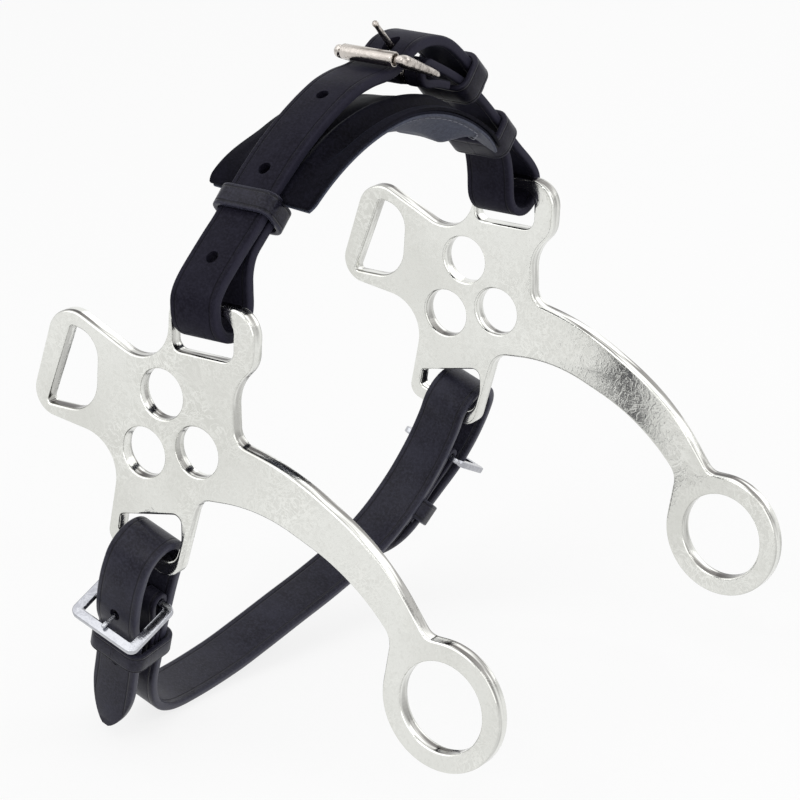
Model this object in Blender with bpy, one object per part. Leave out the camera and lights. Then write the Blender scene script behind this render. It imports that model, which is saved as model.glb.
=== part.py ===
# Mechanical hackamore: two steel cheeks hung from a leather noseband, with a leather curb strap.
# X runs down the cheeks towards the rein rings, Y runs from the near cheek to the far one,
# Z runs from the curb strap up to the nose. The origin is where the pad rests on the nose.
import bpy
import bmesh
from math import acos, atan2, ceil, cos, pi, radians, sin, tan
from mathutils import Matrix, Vector

MM = 0.001

# Fits, in millimetres
GAP = 0.3
FOLD_GAP = 0.5
SLOT_CLEARANCE_NOSE = 2.85
SLOT_CLEARANCE_CURB = 5.2
PLATE_TO_STRAP = 0.9

# Straps
NOSE_STRAP_WIDTH = 17.0
NOSE_STRAP_THICKNESS = 3.5
CURB_STRAP_WIDTH = 16.0
CURB_STRAP_THICKNESS = 3.0
STRAP_EDGE = 0.6
PUNCH_RADIUS = 2.3
KEEPER_WIDTH = 7.5
KEEPER_THICKNESS = 1.8
KEEPER_CORNER = 1.2
KEEPER_CLEARANCE = 0.6

# Cheek plates, about the middle of the centre hole
CHEEK_THICKNESS = 5.0
CHEEK_EDGE = 1.0
CHEEK_SPREAD = 164.4
HOLE_RADIUS = 8.0
HOLES = ((0.0, 0.0), (-20.2, -4.1), (-12.9, 15.9))
RING_CENTRE = (88.0, -61.0)
RING_OUTER_RADIUS = 20.6
RING_HOLE_RADIUS = 14.4
OUTLINE_STEPS = 8
OPENING_STEPS = 5

# Slot for the noseband, with its bar on top
NOSE_SLOT_X = 3.0
NOSE_SLOT_FLOOR = 30.7
NOSE_SLOT_HEIGHT = 13.6
NOSE_BAR_HEIGHT = 3.5
NOSE_LEG = 3.2

# Slot for the curb strap, square to the way that the strap hangs
CURB_TILT = radians(20)
CURB_BAR = (-15.5, -40.3)
CURB_BAR_HEIGHT = 5.9
CURB_SLOT_HEIGHT = 13.5
CURB_SLOT_SHIFT = -3.9
CURB_STRAP_SHIFT = -0.6
CURB_LEG = 3.6
CURB_LOOP_RISE = 33.2

# Noseband arch and nose pad
ARCH_HEIGHT = 55.2
ARCH_POWER = 1.7
PAD_RADIUS = 89.0
PAD_HALF_ANGLE = radians(36.5)
PAD_CENTRE = (4.0, -7.0, 88.0)
PAD_WIDTH = 41.0
LINING_THICKNESS = 1.2
PAD_LEATHER_THICKNESS = 1.5
PAD_FILL_END = 1.2
PAD_FILL_CROWN = 5.2

# Roller buckle on top of the noseband
ROLLER_Y = 2.0
ROLLER_Z = 104.5
BUCKLE_LENGTH = 22.9
BUCKLE_SLOPE = radians(-23.4)
BUCKLE_WIRE_RADIUS = 1.4
ROLLER_BAR_RADIUS = 1.2
ROLLER_RADIUS = 2.4
ROLLER_CLEARANCE = 0.35
TONGUE_RADIUS = 1.1
TONGUE_LENGTH = 26.4
TONGUE_LIFT = radians(46)
TONGUE_CLEARANCE = 0.9
TONGUE_HOLE_STRETCH = 2.4
CHAPE_SLOT_HALF = 2.0
BUCKLE_STRAP_THICKNESS = 2.8

# Routes of the straps: knots near the roller buckle as (y, z), the others as (share of the bar's y, z)
STEP = 4.0
SPLIT_TURN = 31.0
SPLIT_GAP_TURN = 0.2
INNER_RUN_GAP = 6.75
BILLET_START = ((2.0, 99.5), (9.0, 101.4), (16.0, 104.9), (25.0, 105.5))
BILLET_END = ((0.4136, 102.8), (0.5109, 97.2), (0.59, 91.2), (0.663, 85.4), (0.736, 79.9))
ARCH_TURNS = (38, 46, 54, 62, 70, 78)
NEAR_OUTER_SHARES = (0.77, 0.55, 0.32, 0.13)
NOSE_HOLES = ((-0.9793, 61.0), (-0.6594, 83.0), (-0.2993, 96.5))
TONGUE_HOLE = (14.2, 104.2)
NEAR_INNER_RUN = ((0.8674, 51.0), (0.865, 58.5), (0.8479, 65.0), (0.8175, 69.8), (0.7616, 73.3))
FAR_OUTER_RUN = ((0.438, 92.4), (0.5839, 85.0), (0.7056, 76.6), (0.809, 68.2), (0.9124, 60.0),
                 (1.0036, 53.3), (1.0523, 48.5))
FAR_INNER_RUN = ((0.8625, 50.5), (0.8431, 57.5), (0.7956, 63.2), (0.7238, 67.6), (0.6569, 70.4),
                 (0.5949, 73.3))
UNDER_RUN = ((0.4161, 89.2), (0.3467, 91.0))
NEAR_KEEPER_TURN = 34.0
FAR_KEEPER = (0.8212, 67.2)
FAR_MOUTH = (0.871, 63.0)
BILLET_KEEPER = (0.595, 90.8)
FAR_KEEPER_WIDTH = 9.5
NEAR_KEEPER_DEPTH = 7.9
FAR_KEEPER_DEPTH = 7.6
BILLET_KEEPER_DEPTH = 8.4

# Curb buckles
CURB_BUCKLE_DEPTH = 17.5
CURB_WIRE_RADIUS = 1.2
CURB_TONGUE_RADIUS = 0.9
CURB_CHAPE_THICKNESS = 1.6
CURB_LOOP_RADIUS = 8.8
CURB_LOOP_Z = 1.2
CURB_PLATE_GAP = 0.8
CURB_BUCKLE_PLACE = 15.0
CURB_CHAPE_LENGTH = 26.0
CURB_TONGUE_CLEARANCE = 0.9
CURB_HOLE_CLEARANCE = 1.0
CURB_TONGUE_PAST = 0.8
NEAR_DROP = radians(25)
FAR_DROP = radians(12)
TIP_LENGTH = 12.0
NEAR_BILLET = ((-94.9, -5.0), (-93.4, -13.0), (-90.9, -20.5), (-87.0, -27.0), (-85.0, -34.0),
               (-82.0, -43.0), (-78.0, -54.0), (-74.5, -65.0))
CURB_RUN = ((-77.4, -5.0), (-76.4, -15.0), (-74.9, -26.0), (-72.3, -38.0), (-67.5, -50.0),
            (-60.0, -59.3), (-50.0, -64.6), (-37.0, -66.0), (-20.0, -65.0), (-5.0, -62.0),
            (12.0, -58.0), (30.0, -53.8), (46.0, -48.4), (59.0, -40.6), (69.0, -29.0),
            (75.0, -16.0), (77.3, -5.0))
FAR_BILLET = ((94.7, -5.0), (92.6, -13.5), (88.2, -22.0), (81.6, -29.4), (75.0, -36.5),
              (66.0, -46.0), (57.5, -52.6))
NEAR_KEEPER_PLACE = (-73.8, -31.5)
FAR_KEEPER_PLACE = (67.2, -31.4)

# Values that follow from the ones above
PLATE_INSIDE = (CHEEK_SPREAD - CHEEK_THICKNESS) / 2
PLATE_OUTSIDE = (CHEEK_SPREAD + CHEEK_THICKNESS) / 2
BAR_Y = CHEEK_SPREAD / 2
NOSE_SLOT_WIDTH = NOSE_STRAP_WIDTH + 2 * SLOT_CLEARANCE_NOSE
CURB_SLOT_WIDTH = CURB_STRAP_WIDTH + 2 * SLOT_CLEARANCE_CURB
NOSE_BAR_Z = NOSE_SLOT_FLOOR + NOSE_SLOT_HEIGHT + NOSE_BAR_HEIGHT / 2
ARCH_HALF_WIDTH = PLATE_OUTSIDE + PLATE_TO_STRAP + NOSE_STRAP_THICKNESS / 2
ARCH_FOOT_Z = NOSE_BAR_Z - 1.0
NOSE_X = NOSE_SLOT_X
CURB_MIDDLE = CURB_SLOT_SHIFT + CURB_STRAP_SHIFT
LOOP_INNER_Y = PLATE_INSIDE - INNER_RUN_GAP - NOSE_STRAP_THICKNESS / 2
CHAPE_BAR = (ROLLER_Y + BUCKLE_LENGTH * cos(BUCKLE_SLOPE), ROLLER_Z + BUCKLE_LENGTH * sin(BUCKLE_SLOPE))
FOLD_RADIUS = BUCKLE_WIRE_RADIUS + FOLD_GAP + BUCKLE_STRAP_THICKNESS / 2


def clearScene():
    for item in list(bpy.data.objects):
        bpy.data.objects.remove(item, do_unlink=True)


def material(name, colour, roughness, metallic):
    made = bpy.data.materials.new(name)
    made.use_nodes = True
    shader = made.node_tree.nodes["Principled BSDF"]
    shader.inputs["Base Color"].default_value = (*colour, 1)
    shader.inputs["Roughness"].default_value = roughness
    shader.inputs["Metallic"].default_value = metallic
    return made


def empty(name, place, turn=(0, 0, 0), parent=None):
    made = bpy.data.objects.new(name, None)
    bpy.context.collection.objects.link(made)
    made.parent = parent
    made.location = Vector(place) * MM
    made.rotation_euler = turn
    return made


def addSolid(name, shape, look, parent, place=(0, 0, 0), turn=(0, 0, 0)):
    """Make a named object from a bmesh in millimetres, placed under its parent."""
    bmesh.ops.remove_doubles(shape, verts=shape.verts, dist=0.0005)
    bmesh.ops.recalc_face_normals(shape, faces=shape.faces)
    bmesh.ops.scale(shape, verts=shape.verts, vec=(MM, MM, MM))
    data = bpy.data.meshes.new(name)
    shape.to_mesh(data)
    shape.free()
    data.materials.append(look)
    data.shade_smooth()
    data.set_sharp_from_angle(angle=radians(40))
    made = bpy.data.objects.new(name, data)
    bpy.context.collection.objects.link(made)
    made.parent = parent
    made.location = Vector(place) * MM
    made.rotation_euler = turn
    return made


def cut(target, shape, name):
    """Take a closed shape out of a solid, in the solid's own millimetres."""
    tool = addSolid(name, shape, target.data.materials[0], target)
    tool.hide_render = True
    tool.display_type = "WIRE"
    step = target.modifiers.new(name, "BOOLEAN")
    step.operation = "DIFFERENCE"
    step.object = tool


def roundEdges(target, width, sharpest):
    step = target.modifiers.new("rounded edges", "BEVEL")
    step.width = width * MM
    step.segments = 1
    step.limit_method = "ANGLE"
    step.angle_limit = radians(sharpest)


# Outlines and paths

def filleted(corners, steps):
    """Round each (x, z, radius) corner of a closed outline with an arc."""
    outline = []
    count = len(corners)
    for index in range(count):
        before = Vector(corners[index - 1][:2])
        here = Vector(corners[index][:2])
        after = Vector(corners[(index + 1) % count][:2])
        radius = corners[index][2]
        back = (before - here).normalized()
        ahead = (after - here).normalized()
        opening = acos(max(-1.0, min(1.0, back.dot(ahead))))
        reach = radius / tan(opening / 2)
        middle = here + (back + ahead).normalized() * (radius / sin(opening / 2))
        start = here + back * reach - middle
        sweep = pi - opening
        side = 1 if back.cross(ahead) < 0 else -1
        pieces = max(2, ceil(steps * sweep / (pi / 2)))
        for piece in range(pieces + 1):
            turn = Matrix.Rotation(side * sweep * piece / pieces, 2)
            outline.append(middle + turn @ start)
    return outline


def plateSolid(outline, low, high):
    """Stand an (x, z) outline up as a plate between two values of Y."""
    shape = bmesh.new()
    ring = [shape.verts.new((point[0], low, point[1])) for point in outline]
    face = shape.faces.new(ring)
    grown = bmesh.ops.extrude_face_region(shape, geom=[face])
    moved = [item for item in grown["geom"] if isinstance(item, bmesh.types.BMVert)]
    bmesh.ops.translate(shape, verts=moved, vec=(0, high - low, 0))
    return shape


def circle(centre, radius, count):
    turns = [2 * pi * index / count for index in range(count)]
    return [(centre[0] + radius * cos(turn), centre[1] + radius * sin(turn)) for turn in turns]


def smoothPath(knots, spacing):
    """Points at even steps along a smooth curve through the knots."""
    points = [Vector(knot) for knot in knots]
    points = [points[0] * 2 - points[1]] + points + [points[-1] * 2 - points[-2]]
    fine = []
    for index in range(1, len(points) - 2):
        p0, p1, p2, p3 = points[index - 1:index + 3]
        for part in range(24):
            t = part / 24
            curve = (p1 * 2 + (p2 - p0) * t + (p0 * 2 - p1 * 5 + p2 * 4 - p3) * t * t
                     + (p1 * 3 - p0 - p2 * 3 + p3) * t ** 3) / 2
            fine.append(curve)
    fine.append(points[-2])
    return evenSteps(fine, spacing)


def evenSteps(fine, spacing):
    lengths = [0.0]
    for before, after in zip(fine, fine[1:]):
        lengths.append(lengths[-1] + (after - before).length)
    count = max(2, round(lengths[-1] / spacing))
    path = []
    place = 0
    for step in range(count + 1):
        target = lengths[-1] * step / count
        while place < len(fine) - 2 and lengths[place + 1] < target:
            place += 1
        span = lengths[place + 1] - lengths[place]
        share = (target - lengths[place]) / span if span else 0
        path.append(fine[place].lerp(fine[place + 1], share))
    return path


def arc(centre, radius, first, last, count):
    """Points on a circle, the angles in degrees from +Y towards +Z."""
    turns = [radians(first + (last - first) * step / count) for step in range(count + 1)]
    return [(centre[0] + radius * cos(turn), centre[1] + radius * sin(turn)) for turn in turns]


def normals(path):
    sides = []
    for index in range(len(path)):
        ahead = path[min(index + 1, len(path) - 1)] - path[max(index - 1, 0)]
        sides.append(Vector((-ahead[1], ahead[0])).normalized())
    return sides


def strapSolid(path, middle, width, thickness, pointed=(False, False)):
    """Sweep a strap along a (y, z) path, with eased edges and, where asked, a pointed end."""
    shape = bmesh.new()
    rings = []
    length = sum((after - before).length for before, after in zip(path, path[1:]))
    reached = 0.0
    for index, (point, side) in enumerate(zip(path, normals(path))):
        if index:
            reached += (point - path[index - 1]).length
        half = width / 2
        ends = []
        if pointed[0]:
            ends.append(reached)
        if pointed[1]:
            ends.append(length - reached)
        for left in ends:
            if left < TIP_LENGTH:
                half = width / 2 * (0.22 + 0.78 * sin(pi / 2 * left / TIP_LENGTH))
        thick = thickness / 2
        corners = ((half, thick - STRAP_EDGE), (half - STRAP_EDGE, thick),
                   (STRAP_EDGE - half, thick), (-half, thick - STRAP_EDGE),
                   (-half, STRAP_EDGE - thick), (STRAP_EDGE - half, -thick),
                   (half - STRAP_EDGE, -thick), (half, STRAP_EDGE - thick))
        ring = []
        for across, up in corners:
            spot = point + side * up
            ring.append(shape.verts.new((middle + across, spot[0], spot[1])))
        rings.append(ring)
    for before, after in zip(rings, rings[1:]):
        for index in range(8):
            other = (index + 1) % 8
            shape.faces.new((before[index], before[other], after[other], after[index]))
    shape.faces.new(rings[0])
    shape.faces.new(list(reversed(rings[-1])))
    return shape


def bandSolid(inner, outer, low, high):
    """A closed band: the ring between two outlines, each of (x, z) points, from low to high along Y."""
    shape = bmesh.new()
    rings = []
    for outline, level in ((inner, low), (outer, low), (outer, high), (inner, high)):
        rings.append([shape.verts.new((x, level, z)) for x, z in outline])
    for before, after in zip(rings, rings[1:] + rings[:1]):
        for index in range(len(before)):
            other = (index + 1) % len(before)
            shape.faces.new((before[index], before[other], after[other], after[index]))
    return shape


def rod(start, end, radius, sides=12, end_radius=None):
    """A round rod between two points, tapered if its end radius differs."""
    first = Vector(start)
    along = Vector(end) - first
    shape = bmesh.new()
    last = radius if end_radius is None else end_radius
    bmesh.ops.create_cone(shape, cap_ends=True, segments=sides, radius1=radius, radius2=last,
                          depth=along.length)
    turn = along.to_track_quat("Z", "Y").to_matrix().to_4x4()
    turn.translation = first + along / 2
    bmesh.ops.transform(shape, matrix=turn, verts=shape.verts)
    return shape


def wireLoop(corners, radii, sides=10):
    """A closed ring of round wire through points in the XY plane, thicker or thinner by the way."""
    shape = bmesh.new()
    count = len(corners)
    rings = []
    for index in range(count):
        here = Vector((*corners[index], 0))
        back = (here - Vector((*corners[index - 1], 0))).normalized()
        ahead = (Vector((*corners[(index + 1) % count], 0)) - here).normalized()
        across = (back + ahead).normalized().cross(Vector((0, 0, 1)))
        stretch = 1 / max(0.5, cos(back.angle(ahead) / 2))
        ring = []
        for side in range(sides):
            turn = 2 * pi * side / sides
            ring.append(shape.verts.new(here + across * (radii[index] * stretch * cos(turn))
                                        + Vector((0, 0, radii[index] * sin(turn)))))
        rings.append(ring)
    for index in range(count):
        before = rings[index]
        after = rings[(index + 1) % count]
        for side in range(sides):
            other = (side + 1) % sides
            shape.faces.new((before[side], before[other], after[other], after[side]))
    return shape


# Cheek plates

def cheekOutline():
    """The plate's outer edge, clockwise from the lower corner of the cheekpiece end."""
    slot_left = NOSE_SLOT_X - NOSE_SLOT_WIDTH / 2
    slot_right = NOSE_SLOT_X + NOSE_SLOT_WIDTH / 2
    top = NOSE_SLOT_FLOOR + NOSE_SLOT_HEIGHT + NOSE_BAR_HEIGHT
    ring_x, ring_z = RING_CENTRE
    ring = RING_OUTER_RADIUS
    lean = 10.4
    foot = ring_x - ring / cos(radians(lean)) - ring * tan(radians(lean))
    rise = 38.5
    cheekpiece = [(-64.6, 1.9, 8), (-52.6, 39.6, 9.3), (slot_left - NOSE_LEG + 0.5, 20.3, 11.9)]
    noseLoop = [(slot_left - NOSE_LEG + 2.4, top, 6.8), (slot_right + 8.2, top, 8.5),
                (slot_right + 7.2, 30.8, 9), (slot_right - 0.5, 22.5, 14),
                (slot_right - 0.1, 5.6, 5.5)]
    shank = [(34.0, 0.6, 40), (66.0, -18.4, 24), (82.4, ring_z + ring, 5)]
    reinRing = [(ring_x + ring, ring_z + ring, ring), (ring_x + ring, ring_z - ring, ring),
                (foot, ring_z - ring, ring),
                (foot + rise * tan(radians(lean)), ring_z - ring + rise, 7)]
    underShank = [(56.5, -27.6, 30), (21.6, -14.0, 30)]
    return cheekpiece + noseLoop + shank + reinRing + underShank + curbLoopOutline()


def curbPoint(across, up):
    """A point given along and square to the curb bar, as plate (x, z)."""
    return (CURB_BAR[0] + across * cos(CURB_TILT) + up * sin(CURB_TILT),
            CURB_BAR[1] - across * sin(CURB_TILT) + up * cos(CURB_TILT))


def curbLoopOutline():
    left = CURB_SLOT_SHIFT - CURB_SLOT_WIDTH / 2 - CURB_LEG
    right = CURB_SLOT_SHIFT + CURB_SLOT_WIDTH / 2 + CURB_LEG
    low = -CURB_BAR_HEIGHT / 2
    corners = [(right - 2.2, low + CURB_LOOP_RISE, 8.5), (right - 0.3, low - 1.6, 9),
               (left + 0.4, low + 0.6, 2.8), (left - 4.6, low + CURB_LOOP_RISE, 13)]
    return [(*curbPoint(across, up), radius) for across, up, radius in corners]


def slotCutters():
    """The plate's slots as outlines: cheekpiece slot, noseband slot, curb slot."""
    half = NOSE_SLOT_WIDTH / 2
    left = NOSE_SLOT_X - half
    right = NOSE_SLOT_X + half
    roof = NOSE_SLOT_FLOOR + NOSE_SLOT_HEIGHT
    cheekpiece = [(-57.8, 4.4, 1.2), (-47.4, 31.4, 1.2), (-36.7, 29.8, 8.5), (-38.5, 4.4, 10.5)]
    noseband = [(left, NOSE_SLOT_FLOOR, 3), (left, roof, 4.5), (right, roof, 4.5),
                (right, NOSE_SLOT_FLOOR, 4)]
    low = CURB_BAR_HEIGHT / 2
    high = low + CURB_SLOT_HEIGHT
    near = CURB_SLOT_SHIFT - CURB_SLOT_WIDTH / 2
    away = CURB_SLOT_SHIFT + CURB_SLOT_WIDTH / 2
    curb = [(near, low, 1.5), (near, low + 8.2, 1.5), (away - 4.0, high + 3.5, 4),
            (away, low, 4.5)]
    return cheekpiece, noseband, [(*curbPoint(across, up), radius) for across, up, radius in curb]


def cheekPlate(name, look, parent, pivot):
    """One cheek, its mesh measured from the noseband bar that it hangs on."""
    low = -CHEEK_THICKNESS / 2
    high = CHEEK_THICKNESS / 2
    shift = (-pivot[0], 0, -pivot[2])
    body = plateSolid(filleted(cheekOutline(), OUTLINE_STEPS), low, high)
    bmesh.ops.translate(body, verts=body.verts, vec=shift)
    plate = addSolid(name, body, look, parent)
    openings = [filleted(corners, OPENING_STEPS) for corners in slotCutters()]
    openings += [circle(centre, HOLE_RADIUS, 4 * OPENING_STEPS) for centre in HOLES]
    openings.append(circle(RING_CENTRE, RING_HOLE_RADIUS, 6 * OPENING_STEPS))
    for number, outline in enumerate(openings):
        tool = plateSolid(outline, low - 2, high + 2)
        bmesh.ops.translate(tool, verts=tool.verts, vec=shift)
        cut(plate, tool, f"{name}_opening_{number}")
    roundEdges(plate, CHEEK_EDGE, 50)
    return plate


# Noseband

def archPoint(turn, raise_by=0.0):
    """The noseband's middle surface over the nose; turn is 0 at the near bar and 180 at the far one."""
    reach = abs(cos(radians(turn))) ** (2 / ARCH_POWER)
    height = sin(radians(turn)) ** (2 / ARCH_POWER)
    sign = -1 if turn < 90 else 1
    return Vector((sign * (ARCH_HALF_WIDTH + raise_by) * reach,
                   ARCH_FOOT_Z + (ARCH_HEIGHT + raise_by) * height))


def splitAt(path, point):
    """The place along a path that is nearest to a point."""
    gaps = [(spot - Vector(point)).length for spot in path]
    return gaps.index(min(gaps))


def padPoint(turn, radius):
    """A point of the pad's cross arc, from its angle and its radius."""
    centre_z = PAD_CENTRE[2] - PAD_RADIUS
    return Vector((PAD_CENTRE[1] + radius * sin(turn), centre_z + radius * cos(turn)))


def padFill(along, across):
    """Thickness of the padding: a crown that thins to the ends and is drawn in at the sides."""
    swell = max(0.0, cos(pi / 2 * along)) ** 1.6 * max(0.0, 1 - abs(across) ** 3) ** 0.8
    return PAD_FILL_END + (PAD_FILL_CROWN - PAD_FILL_END) * swell


def padLayer(inner, outer, inset, columns=20, rows=8):
    """A layer between two surfaces, each a function of the place along and across the pad."""
    shape = bmesh.new()
    sheets = []
    for surface in (inner, outer):
        sheet = []
        for column in range(columns + 1):
            along = 2 * column / columns - 1
            line = []
            for row in range(rows + 1):
                across = 2 * row / rows - 1
                corner = max(0.0, abs(along) - 0.86) / 0.14
                half = (PAD_WIDTH / 2 - inset) * (1 - 0.10 * corner ** 2)
                end = inset / PAD_RADIUS
                spot = padPoint((PAD_HALF_ANGLE - end) * along, surface(along, across))
                line.append(shape.verts.new((PAD_CENTRE[0] + half * across, spot[0], spot[1])))
            sheet.append(line)
        sheets.append(sheet)
    under, over = sheets
    for column in range(columns):
        for row in range(rows):
            for sheet in sheets:
                shape.faces.new((sheet[column][row], sheet[column + 1][row],
                                 sheet[column + 1][row + 1], sheet[column][row + 1]))
    for row in range(rows):
        for column in (0, columns):
            shape.faces.new((under[column][row], under[column][row + 1],
                             over[column][row + 1], over[column][row]))
    for column in range(columns):
        for row in (0, rows):
            shape.faces.new((under[column][row], under[column + 1][row],
                             over[column + 1][row], over[column][row]))
    return shape


def liningTop(along, across):
    return PAD_RADIUS + LINING_THICKNESS


def fillTop(along, across):
    return liningTop(along, across) + GAP + padFill(along, across)


def makePad(looks, parent):
    layers = (("nose_pad_lining", lambda u, v: PAD_RADIUS, liningTop, 0.0, looks["lining"]),
              ("nose_pad_padding", lambda u, v: liningTop(u, v) + GAP, fillTop, 1.5, looks["felt"]),
              ("nose_pad_outer", lambda u, v: fillTop(u, v) + GAP,
               lambda u, v: fillTop(u, v) + GAP + PAD_LEATHER_THICKNESS, 0.0, looks["leather"]))
    for name, inner, outer, inset, look in layers:
        addSolid(name, padLayer(inner, outer, inset), look, parent)


def keeper(name, path, place, layers, width, look, parent, middle, strap_width):
    """A leather loop round the layers that lie at one place of a path."""
    spot = path[place]
    ahead = (path[place + 1] - path[place - 1]).normalized()
    low, high = layers
    half = strap_width / 2 + KEEPER_CLEARANCE
    loops = []
    for out in (0.0, KEEPER_THICKNESS):
        round_by = KEEPER_CORNER + out
        loops.append(filleted([(-half - out, low - out, round_by), (-half - out, high + out, round_by),
                               (half + out, high + out, round_by), (half + out, low - out, round_by)], 2))
    shape = bandSolid(loops[0], loops[1], -width / 2, width / 2)
    turn = (atan2(ahead[1], ahead[0]), 0, 0)
    return addSolid(name, shape, look, parent, (middle, spot[0], spot[1]), turn)


def across(shape):
    """Turn a shape whose axis is Y so that its axis is X."""
    bmesh.ops.rotate(shape, verts=shape.verts, matrix=Matrix.Rotation(pi / 2, 3, "Z"))
    return shape


def pathThrough(knots):
    return smoothPath(knots, STEP)


def spread(knots):
    """Knots whose y is a share of the bar's, in millimetres."""
    return [Vector((share * BAR_Y, z)) for share, z in knots]


def lift(point, side, amount):
    return Vector((point[0] + side[0] * amount, point[1] + side[1] * amount))


def punch(target, path, place, middle, radius, number, long_by=0.0):
    """Cut a punched hole square through a strap, lengthened along the strap where it must be."""
    spot = (path[place] + path[place + 1]) / 2
    side = normals(path)[place]
    ahead = Vector((side[1], -side[0]))
    shape = bmesh.new()
    outline = circle((0, 0), radius, 12)
    outline = [(x, z + (long_by if z > 0 else -long_by)) for x, z in outline]
    reach = NOSE_STRAP_THICKNESS
    low = [Vector((middle + x, *(spot + ahead * z - side * reach))) for x, z in outline]
    high = [Vector((middle + x, *(spot + ahead * z + side * reach))) for x, z in outline]
    rings = [[shape.verts.new(point) for point in ring] for ring in (low, high)]
    for index in range(len(outline)):
        other = (index + 1) % len(outline)
        shape.faces.new((rings[0][index], rings[0][other], rings[1][other], rings[1][index]))
    shape.faces.new(rings[0])
    shape.faces.new(rings[1])
    cut(target, shape, f"{target.name}_hole_{number}")


def makeNoseband(looks, bench, near_hanger, far_hanger):
    leather = looks["leather"]
    thick = NOSE_STRAP_THICKNESS
    low_hole, *strap_holes = spread(NOSE_HOLES)
    arch = [archPoint(turn) for turn in (SPLIT_TURN + SPLIT_GAP_TURN, *ARCH_TURNS)]
    billet = [*BILLET_START, *spread(BILLET_END)]
    long_path = pathThrough(arch + billet)
    strap = addSolid("noseband_strap", strapSolid(long_path, NOSE_X, NOSE_STRAP_WIDTH, thick), leather, bench)
    for number, hole in enumerate(strap_holes):
        punch(strap, long_path, splitAt(long_path, hole), NOSE_X, PUNCH_RADIUS, number)
    punch(strap, long_path, splitAt(long_path, TONGUE_HOLE), NOSE_X, TONGUE_RADIUS + TONGUE_CLEARANCE,
          len(strap_holes), TONGUE_HOLE_STRETCH)

    turns = [SPLIT_TURN - SPLIT_GAP_TURN] + [SPLIT_TURN * share for share in NEAR_OUTER_SHARES]
    loop = endLoop(-1, [archPoint(turn) for turn in turns], spread(NEAR_INNER_RUN))
    end = strapSolid(loop, NOSE_X, NOSE_STRAP_WIDTH, thick)
    bmesh.ops.translate(end, verts=end.verts, vec=(-NOSE_X, BAR_Y, -NOSE_BAR_Z))
    made = addSolid("near_strap_end", end, leather, near_hanger)
    from_bar = Vector((BAR_Y, -NOSE_BAR_Z))
    moved = [spot + from_bar for spot in loop]
    punch(made, moved, splitAt(moved, low_hole + from_bar), 0, PUNCH_RADIUS, 0)

    upper = pathThrough([(CHAPE_BAR[0] + FOLD_RADIUS * 0.35, CHAPE_BAR[1] + FOLD_RADIUS * 0.94),
                         *spread(FAR_OUTER_RUN)])
    mouth = splitAt(upper, spread([FAR_MOUTH])[0])
    under = pathThrough([*spread(UNDER_RUN), (CHAPE_BAR[0] - 0.5, CHAPE_BAR[1] - FOLD_RADIUS)])
    fold = [Vector(spot) for spot in arc(CHAPE_BAR, FOLD_RADIUS, -110, -285, 8)]
    path = evenSteps(under[:-1] + fold + upper[1:mouth], STEP * 0.8)
    buckle = strapSolid(path, NOSE_X, NOSE_STRAP_WIDTH, BUCKLE_STRAP_THICKNESS)
    made = addSolid("buckle_strap", buckle, leather, bench)
    low = CHAPE_BAR[1] - 2 * FOLD_RADIUS
    high = CHAPE_BAR[1] + 2 * FOLD_RADIUS
    slot = plateSolid([(NOSE_X - CHAPE_SLOT_HALF, low), (NOSE_X - CHAPE_SLOT_HALF, high),
                       (NOSE_X + CHAPE_SLOT_HALF, high), (NOSE_X + CHAPE_SLOT_HALF, low)],
                      CHAPE_BAR[0] - 2 * FOLD_RADIUS, CHAPE_BAR[0] + FOLD_RADIUS)
    cut(made, slot, "chape_slot")

    foot = upper[mouth:]
    loop = endLoop(1, foot, spread(FAR_INNER_RUN))
    first = loop[0] + (loop[1] - loop[0]).normalized() * GAP
    loop = [first] + loop[1:]
    end = strapSolid(loop, NOSE_X, NOSE_STRAP_WIDTH, BUCKLE_STRAP_THICKNESS)
    bmesh.ops.translate(end, verts=end.verts, vec=(-NOSE_X, -BAR_Y, -NOSE_BAR_Z))
    addSolid("far_strap_end", end, leather, far_hanger)

    makePad(looks, bench)
    mouth_path = [archPoint(NEAR_KEEPER_TURN + turn) for turn in (-3, 0, 3)]
    keeper("near_keeper", mouth_path, 1, (-NEAR_KEEPER_DEPTH, thick / 2 + KEEPER_CLEARANCE),
           KEEPER_WIDTH, leather, bench, NOSE_X, NOSE_STRAP_WIDTH)
    keeper("far_keeper", upper, splitAt(upper, spread([FAR_KEEPER])[0]),
           (-FAR_KEEPER_DEPTH, BUCKLE_STRAP_THICKNESS / 2 + KEEPER_CLEARANCE),
           FAR_KEEPER_WIDTH, leather, bench, NOSE_X, NOSE_STRAP_WIDTH)
    fine_path = evenSteps(long_path, STEP / 2)
    keeper("billet_keeper", fine_path, splitAt(fine_path, spread([BILLET_KEEPER])[0]),
           (-BILLET_KEEPER_DEPTH, thick / 2 + KEEPER_CLEARANCE),
           FAR_KEEPER_WIDTH, leather, bench, NOSE_X, NOSE_STRAP_WIDTH)


def endLoop(side, outer_run, inner_run):
    """Down the outside of a cheek, under its noseband bar and up to the pad's end."""
    outer = ARCH_HALF_WIDTH
    radius = (outer - LOOP_INNER_Y) / 2
    turn_at = (side * (outer + LOOP_INNER_Y) / 2, ARCH_FOOT_Z)
    bottom = arc(turn_at, radius, 0, -180, 10) if side > 0 else arc(turn_at, radius, -180, 0, 10)
    inner = [(side * spot[0], spot[1]) for spot in inner_run]
    return pathThrough([*outer_run, *bottom, *inner])


# Buckles

def buckleRing(half_width, length, corner, count):
    """Centre line of a rectangular buckle frame; its hinge bar is on X and the rest lies towards +Y."""
    outline = filleted([(-half_width, 0, corner), (-half_width, length, corner),
                        (half_width, length, corner), (half_width, 0, corner)], 4)
    closed = outline + outline[:1]
    return evenSteps(closed, 2 * (2 * half_width + length) / count)[:-1]


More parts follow.
